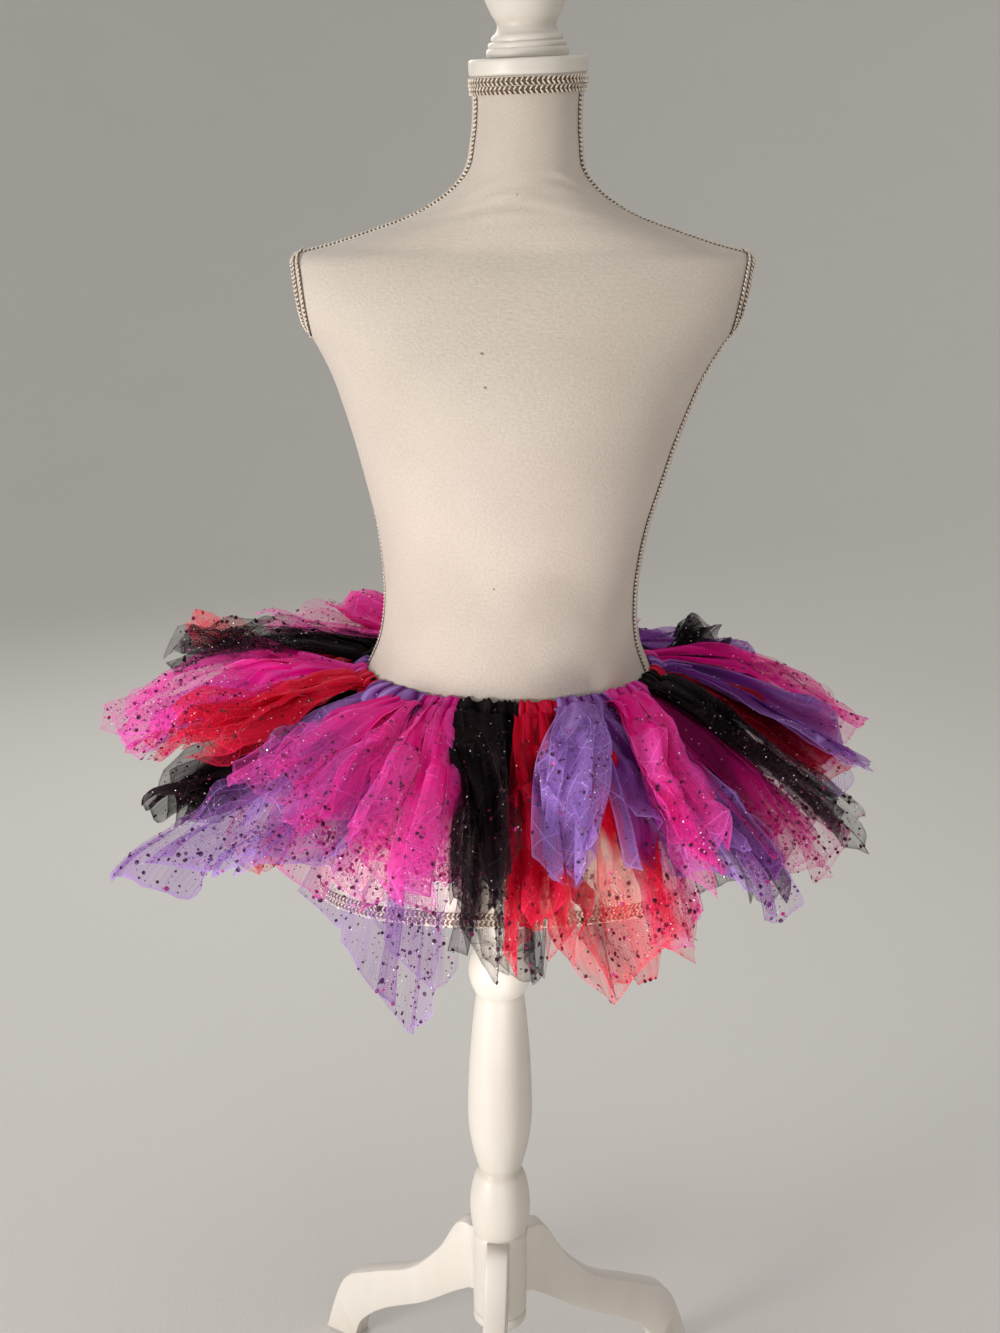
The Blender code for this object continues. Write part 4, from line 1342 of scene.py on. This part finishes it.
# The loop of cloth round the band that holds the two tails: uneven soft folds with deep hollows between
def knotSheet(own, sides, draw):
    across = np.linspace(0, 1, skirt["knotColumns"])[None, :]
    along = np.linspace(0, 1, skirt["knotRows"])[:, None]
    # from behind the band's top edge, over it and under
    turn = math.radians(skirt["knotStart"]) - along * math.radians(skirt["knotTurn"])
    folds = draw.uniform(1.0, 1.8) * math.degrees(sides[1] - sides[0]) / 8 / math.sqrt(own["knot"])
    bend = draw.uniform(-0.30, 0.30)
    beat = across + bend * (along - 0.5) + 0.05 * np.sin(along * 6 + across * 4 + draw.uniform(0, 6))
    fold = np.sqrt(np.abs(np.sin(math.pi * (beat * folds + draw.uniform(0, 1)))))
    heft = np.interp(across, np.linspace(0, 1, 7), draw.uniform(0.72, 1.24, 7))
    crowd = np.abs(2 * across - 1) ** 3
    puff = own["knot"] * heft * (0.64 + 0.44 * fold) * (1 - 0.30 * crowd)
    puff = puff * (1 + 0.07 * np.sin(turn * 3 + across * 17 + draw.uniform(0, 6)))
    frill = np.interp(across, np.linspace(0, 1, 18), draw.uniform(-1, 1, 18)) * bell(along - 0.16, 0.16)
    frill = frill * skirt["frills"].get(own["tint"], skirt["frills"]["rest"])
    out = np.maximum(skirt["knotOut"] + skirt["knotDepth"] * np.cos(turn) * puff, -0.0018)
    rise = np.sin(turn)
    hang = np.where(rise > 0, 0.55 + 0.40 * np.minimum(puff, 1.1), 1.25 * puff)
    up = 0.0006 + skirt["knotHeight"] * rise * hang + 0.0006 * skirt["layers"][own["layer"]] + frill
    azimuth = between(sides[0], sides[1], 0.5 + (across - 0.5) * (1.02 + 0.10 * np.cos(turn)))
    points = skirtPlace(azimuth, out, up)
    flat = [(across - 0.5) * skirt["clothWidth"], skirt["knotTakes"] * (along - 1)]
    uvs = np.stack([np.broadcast_to(part, out.shape) for part in flat], axis=-1)
    # lines on the tallest crests are a painted highlight; the tone paints shade in the hollows between the
    # folds and light on the crests
    edge = np.where((fold > 0.94) & (heft > 1.0), 0.5, 0.0)
    tone = np.clip(1.9 * fold - 1.15 + 0.5 * (heft - 1), -1, 1)
    creases = [np.broadcast_to(across * 3.1 + along * 0.7 * slant, out.shape) for slant in (1, -1, 2)]
    return points, uvs, edge, np.ones(out.shape), tone, creases, skirt["knotTakes"]


creaseNames = ("creaseA", "creaseB", "creaseC")


def makeTulle(name):
    thickColour, thinAndHighlightColour, glowColour, hollowShadeColour, tip = tulle["threads"][name]
    finish = Finish(f"glitter_tulle_{name}")
    thick, edge, shade = (finish.attribute(key) for key in ("thick", "edge", "tone"))
    cloth = finish.cloth()
    x, y, _ = finish.parts(cloth)
    turn = 4 * math.pi / math.sqrt(3) / tulle["netPitch"]
    slant, rise = x * (turn * 0.5), y * (turn * math.sqrt(3) / 2)
    holes = (x * turn).cosine() + (slant + rise).cosine() + (slant - rise).cosine()
    thread = 0.5 - holes.step(-0.9, 1.3)
    # the fine lines along the creases, which come and go over the cloth: denser cloth, and a painted highlight
    # where the tone is light
    line = 0.0
    for key, pitch in zip(creaseNames, skirt["creasePitches"]):
        fold = (finish.attribute(key) * 2.0).fraction()
        away = (fold - (fold > 0.5)).size() * (pitch / 2)
        found = 1.0 - away.step(tulle["lineHalf"] * 0.4, tulle["lineHalf"] * 1.6)
        line = found.most(line)
    line = (line * shade.step(-0.15, 0.45) * tulle["lineStrength"]).most(edge)
    stretched = finish.stretched(cloth, (*skirt["streaks"], 1.0))
    streak = finish.noise(stretched, 1.0, 2.0, flat=True) - 0.5
    thin = 1.0 - thick
    cover = thick * (1.35 * (1.0 - tip)) + tip + thread * thin * tulle["netContrast"] + line * 0.45
    gathered = (thick * 1.1 + 0.12).limited()  # the streaks die out where the cloth opens
    alpha = (cover + (streak * gathered * 2.0 + shade * 0.12) * thin).limited()
    # lighter where the cloth is thin, with painted highlights along the lines, on the streaks and where the
    # tone is light
    thinAndHighlight = (line * 0.75 + thin * 0.30 + streak * gathered * 1.0 + shade * 0.40 + 0.10).limited()
    # painted shade: near the knot, where the tone is dark, the threads darken towards the hollow colour and
    # show less glow
    hollowShade = (thick - shade * 1.5 - 1.15).limited()
    threads = finish.blend(hollowShade, finish.blend(thinAndHighlight, thickColour, thinAndHighlightColour), hollowShadeColour)
    body = finish.surface(threads, 0.62, finish.bump(streak, 0.0022, 0.8), Specular_IOR_Level=tulle["gloss"])
    glow = finish.node("ShaderNodeBsdfTranslucent", {}, {"Color": glowColour})
    lit = finish.node("ShaderNodeMixShader", {}, {0: (1.0 - hollowShade) * tulle["through"], 1: body, 2: glow})
    clear = finish.node("ShaderNodeBsdfTransparent")
    return finish.done(finish.node("ShaderNodeMixShader", {}, {0: alpha, 1: clear, 2: lit}))


def makeStrips():
    made = {}
    materials = {name: makeTulle(name) for name in tulle["threads"]}
    for number in range(1, len(strips) + 1):
        own = stripValues(number)
        tint = own["tint"]
        draw = np.random.default_rng(skirt["seed"] + (number - 1) * 7)
        sides = knotSides(own, number)
        sheets = [tailSheet(own, sides, tail, draw) for tail in (0, 1)] + [knotSheet(own, sides, draw)]
        faces, start = [], 0
        for place, *_ in sheets:
            rows, columns = place.shape[:2]
            faces.append(gridFaces(rows, columns, start, flip=True))
            start += rows * columns
        points, uvs, edge, thick, tone = (
            np.concatenate([sheet[part].reshape(-1, *sheet[part].shape[2:]) for sheet in sheets])
            for part in range(5)
        )
        attributes = {"edge": edge, "thick": thick, "tone": tone}
        for index, key in enumerate(creaseNames):
            attributes[key] = np.concatenate([sheet[5][index].ravel() for sheet in sheets])
        name = f"strip_{number:02d}_{tint}"
        faces = np.concatenate(faces).tolist()
        piece = addPiece(f"tulle_{name}", points, faces, materials[tint], uvs, attributes)
        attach(piece, "root")
        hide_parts(name)
        flatLength = 2 * own["length"] * max(own["reach"], 1.0) + skirt["knotTakes"]
        flatArea = skirt["clothWidth"] * sum(sheet[6] for sheet in sheets)  # its ends are cut at a slant
        made.setdefault(tint, []).append(piece)
    faceCount = sum(len(piece.data.polygons) for group in made.values() for piece in group)
    print("strips knotted on:", len(strips), "with", faceCount, "faces")
    return made


stripPieces = makeStrips()


# Glitter flakes

glitter = {
    "perSquareMetre": 21000.0,
    "thickLoss": 0.62,  # share of the flakes that the thick cloth lacks
    "glintShrink": 0.85,  # the bright flakes are all small
    "smallest": 0.00060,
    "largest": 0.0024,
    "tilt": 0.5,
    # the wine flakes are the glitter's own colour; the rose and silver flakes are painted glints
    "wine": colour(0.030, 0.001, 0.014),
    "roseGlint": colour(0.42, 0.020, 0.180),
    "silverGlint": colour(0.95, 0.90, 0.95),
    "roseShare": 0.14,
    "silverShare": 0.16,
    "seed": 23,
}


def makeFlakeFoil():
    finish = Finish("glitter_foil")
    chance = finish.attribute("shine")
    silverGlint = 1.0 - glitter["silverShare"]
    roseGlint = silverGlint - glitter["roseShare"]
    # most flakes are wine, and the rose and silver ones are painted glints
    tone = finish.blend(chance > roseGlint, glitter["wine"], glitter["roseGlint"])
    tone = finish.blend(chance > silverGlint, tone, glitter["silverGlint"])
    grain = finish.noise(finish.objectPlace(), 700.0, 1.0)
    return finish.done(finish.surface(tone, grain * 0.15 + 0.30, None, Metallic=0.35))


def glitterTree(material):
    numbers = {
        "Flakes per square metre": glitter["perSquareMetre"],
        "Smallest radius": glitter["smallest"],
        "Largest radius": glitter["largest"],
        "Tilt": glitter["tilt"],
        "Seed": 0,
    }
    maker, (cloth, amount, smallest, largest, tilt, seed) = openTree("glitter", numbers)
    thick = maker.node("GeometryNodeInputNamedAttribute", {"data_type": "FLOAT"}, {"Name": "thick"})
    here = amount * (1.0 - thick * glitter["thickLoss"])
    sockets = {"Mesh": cloth, "Density": here, "Seed": seed}
    scattered = maker.node("GeometryNodeDistributePointsOnFaces", {"distribute_method": "RANDOM"}, sockets)
    facing = Flow(maker, scattered.socket.node.outputs["Rotation"])
    flake = maker.node("GeometryNodeMeshCircle", {"fill_type": "NGON"}, {"Vertices": 6, "Radius": 1.0})
    luck = maker.node("FunctionNodeRandomValue", {"data_type": "FLOAT"}, {"Seed": 11}, output=1)
    shine = maker.node("FunctionNodeRandomValue", {"data_type": "FLOAT"}, {"Seed": 13}, output=1)
    small = (shine > 1.0 - glitter["silverShare"]) * glitter["glintShrink"]
    size = smallest + (largest - smallest) * luck**4.0 * (1.0 - small)
    lean = maker.node("ShaderNodeCombineXYZ", {}, {0: tilt, 1: tilt, 2: 3.0})
    back = maker.node("ShaderNodeVectorMath", {"operation": "SCALE"}, {0: lean, "Scale": -1.0})
    turn = maker.node("FunctionNodeRandomValue", {"data_type": "FLOAT_VECTOR"}, {0: back, 1: lean, "Seed": 12})
    turned = turnedBy(maker, facing, turn)
    sockets = {"Points": scattered, "Instance": flake, "Rotation": turned, "Scale": size}
    placed = maker.node("GeometryNodeInstanceOnPoints", {}, sockets)
    return closeTree(maker, placed, "shine", shine, material)


def makeGlitter():
    foil = makeFlakeFoil()
    tree = glitterTree(foil)
    for turn, (name, pieces) in enumerate(stripPieces.items()):
        points, faces, thicks, start = [], [], [], 0
        for piece in pieces:
            mesh = piece.data
            points.append(readAll(mesh.vertices, "co", 3))
            faces.append(readAll(mesh.loops, "vertex_index", kind=np.int64).reshape(-1, 4) + start)
            thicks.append(readAll(mesh.attributes["thick"].data, "value"))
            start += len(mesh.vertices)
        points, faces, thicks = (np.concatenate(part) for part in (points, faces, thicks))
        points, faces = points.reshape(-1, 3), faces.tolist()
        flakes = addPiece(f"glitter_on_{name}", points, faces, foil, attributes={"thick": thicks})
        grow(flakes, tree, "Seed", glitter["seed"] + turn)
        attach(flakes, "root")
        print("glitter on", name, len(flakes.data.polygons), "flakes")


makeGlitter()

bpy.context.view_layer.update()
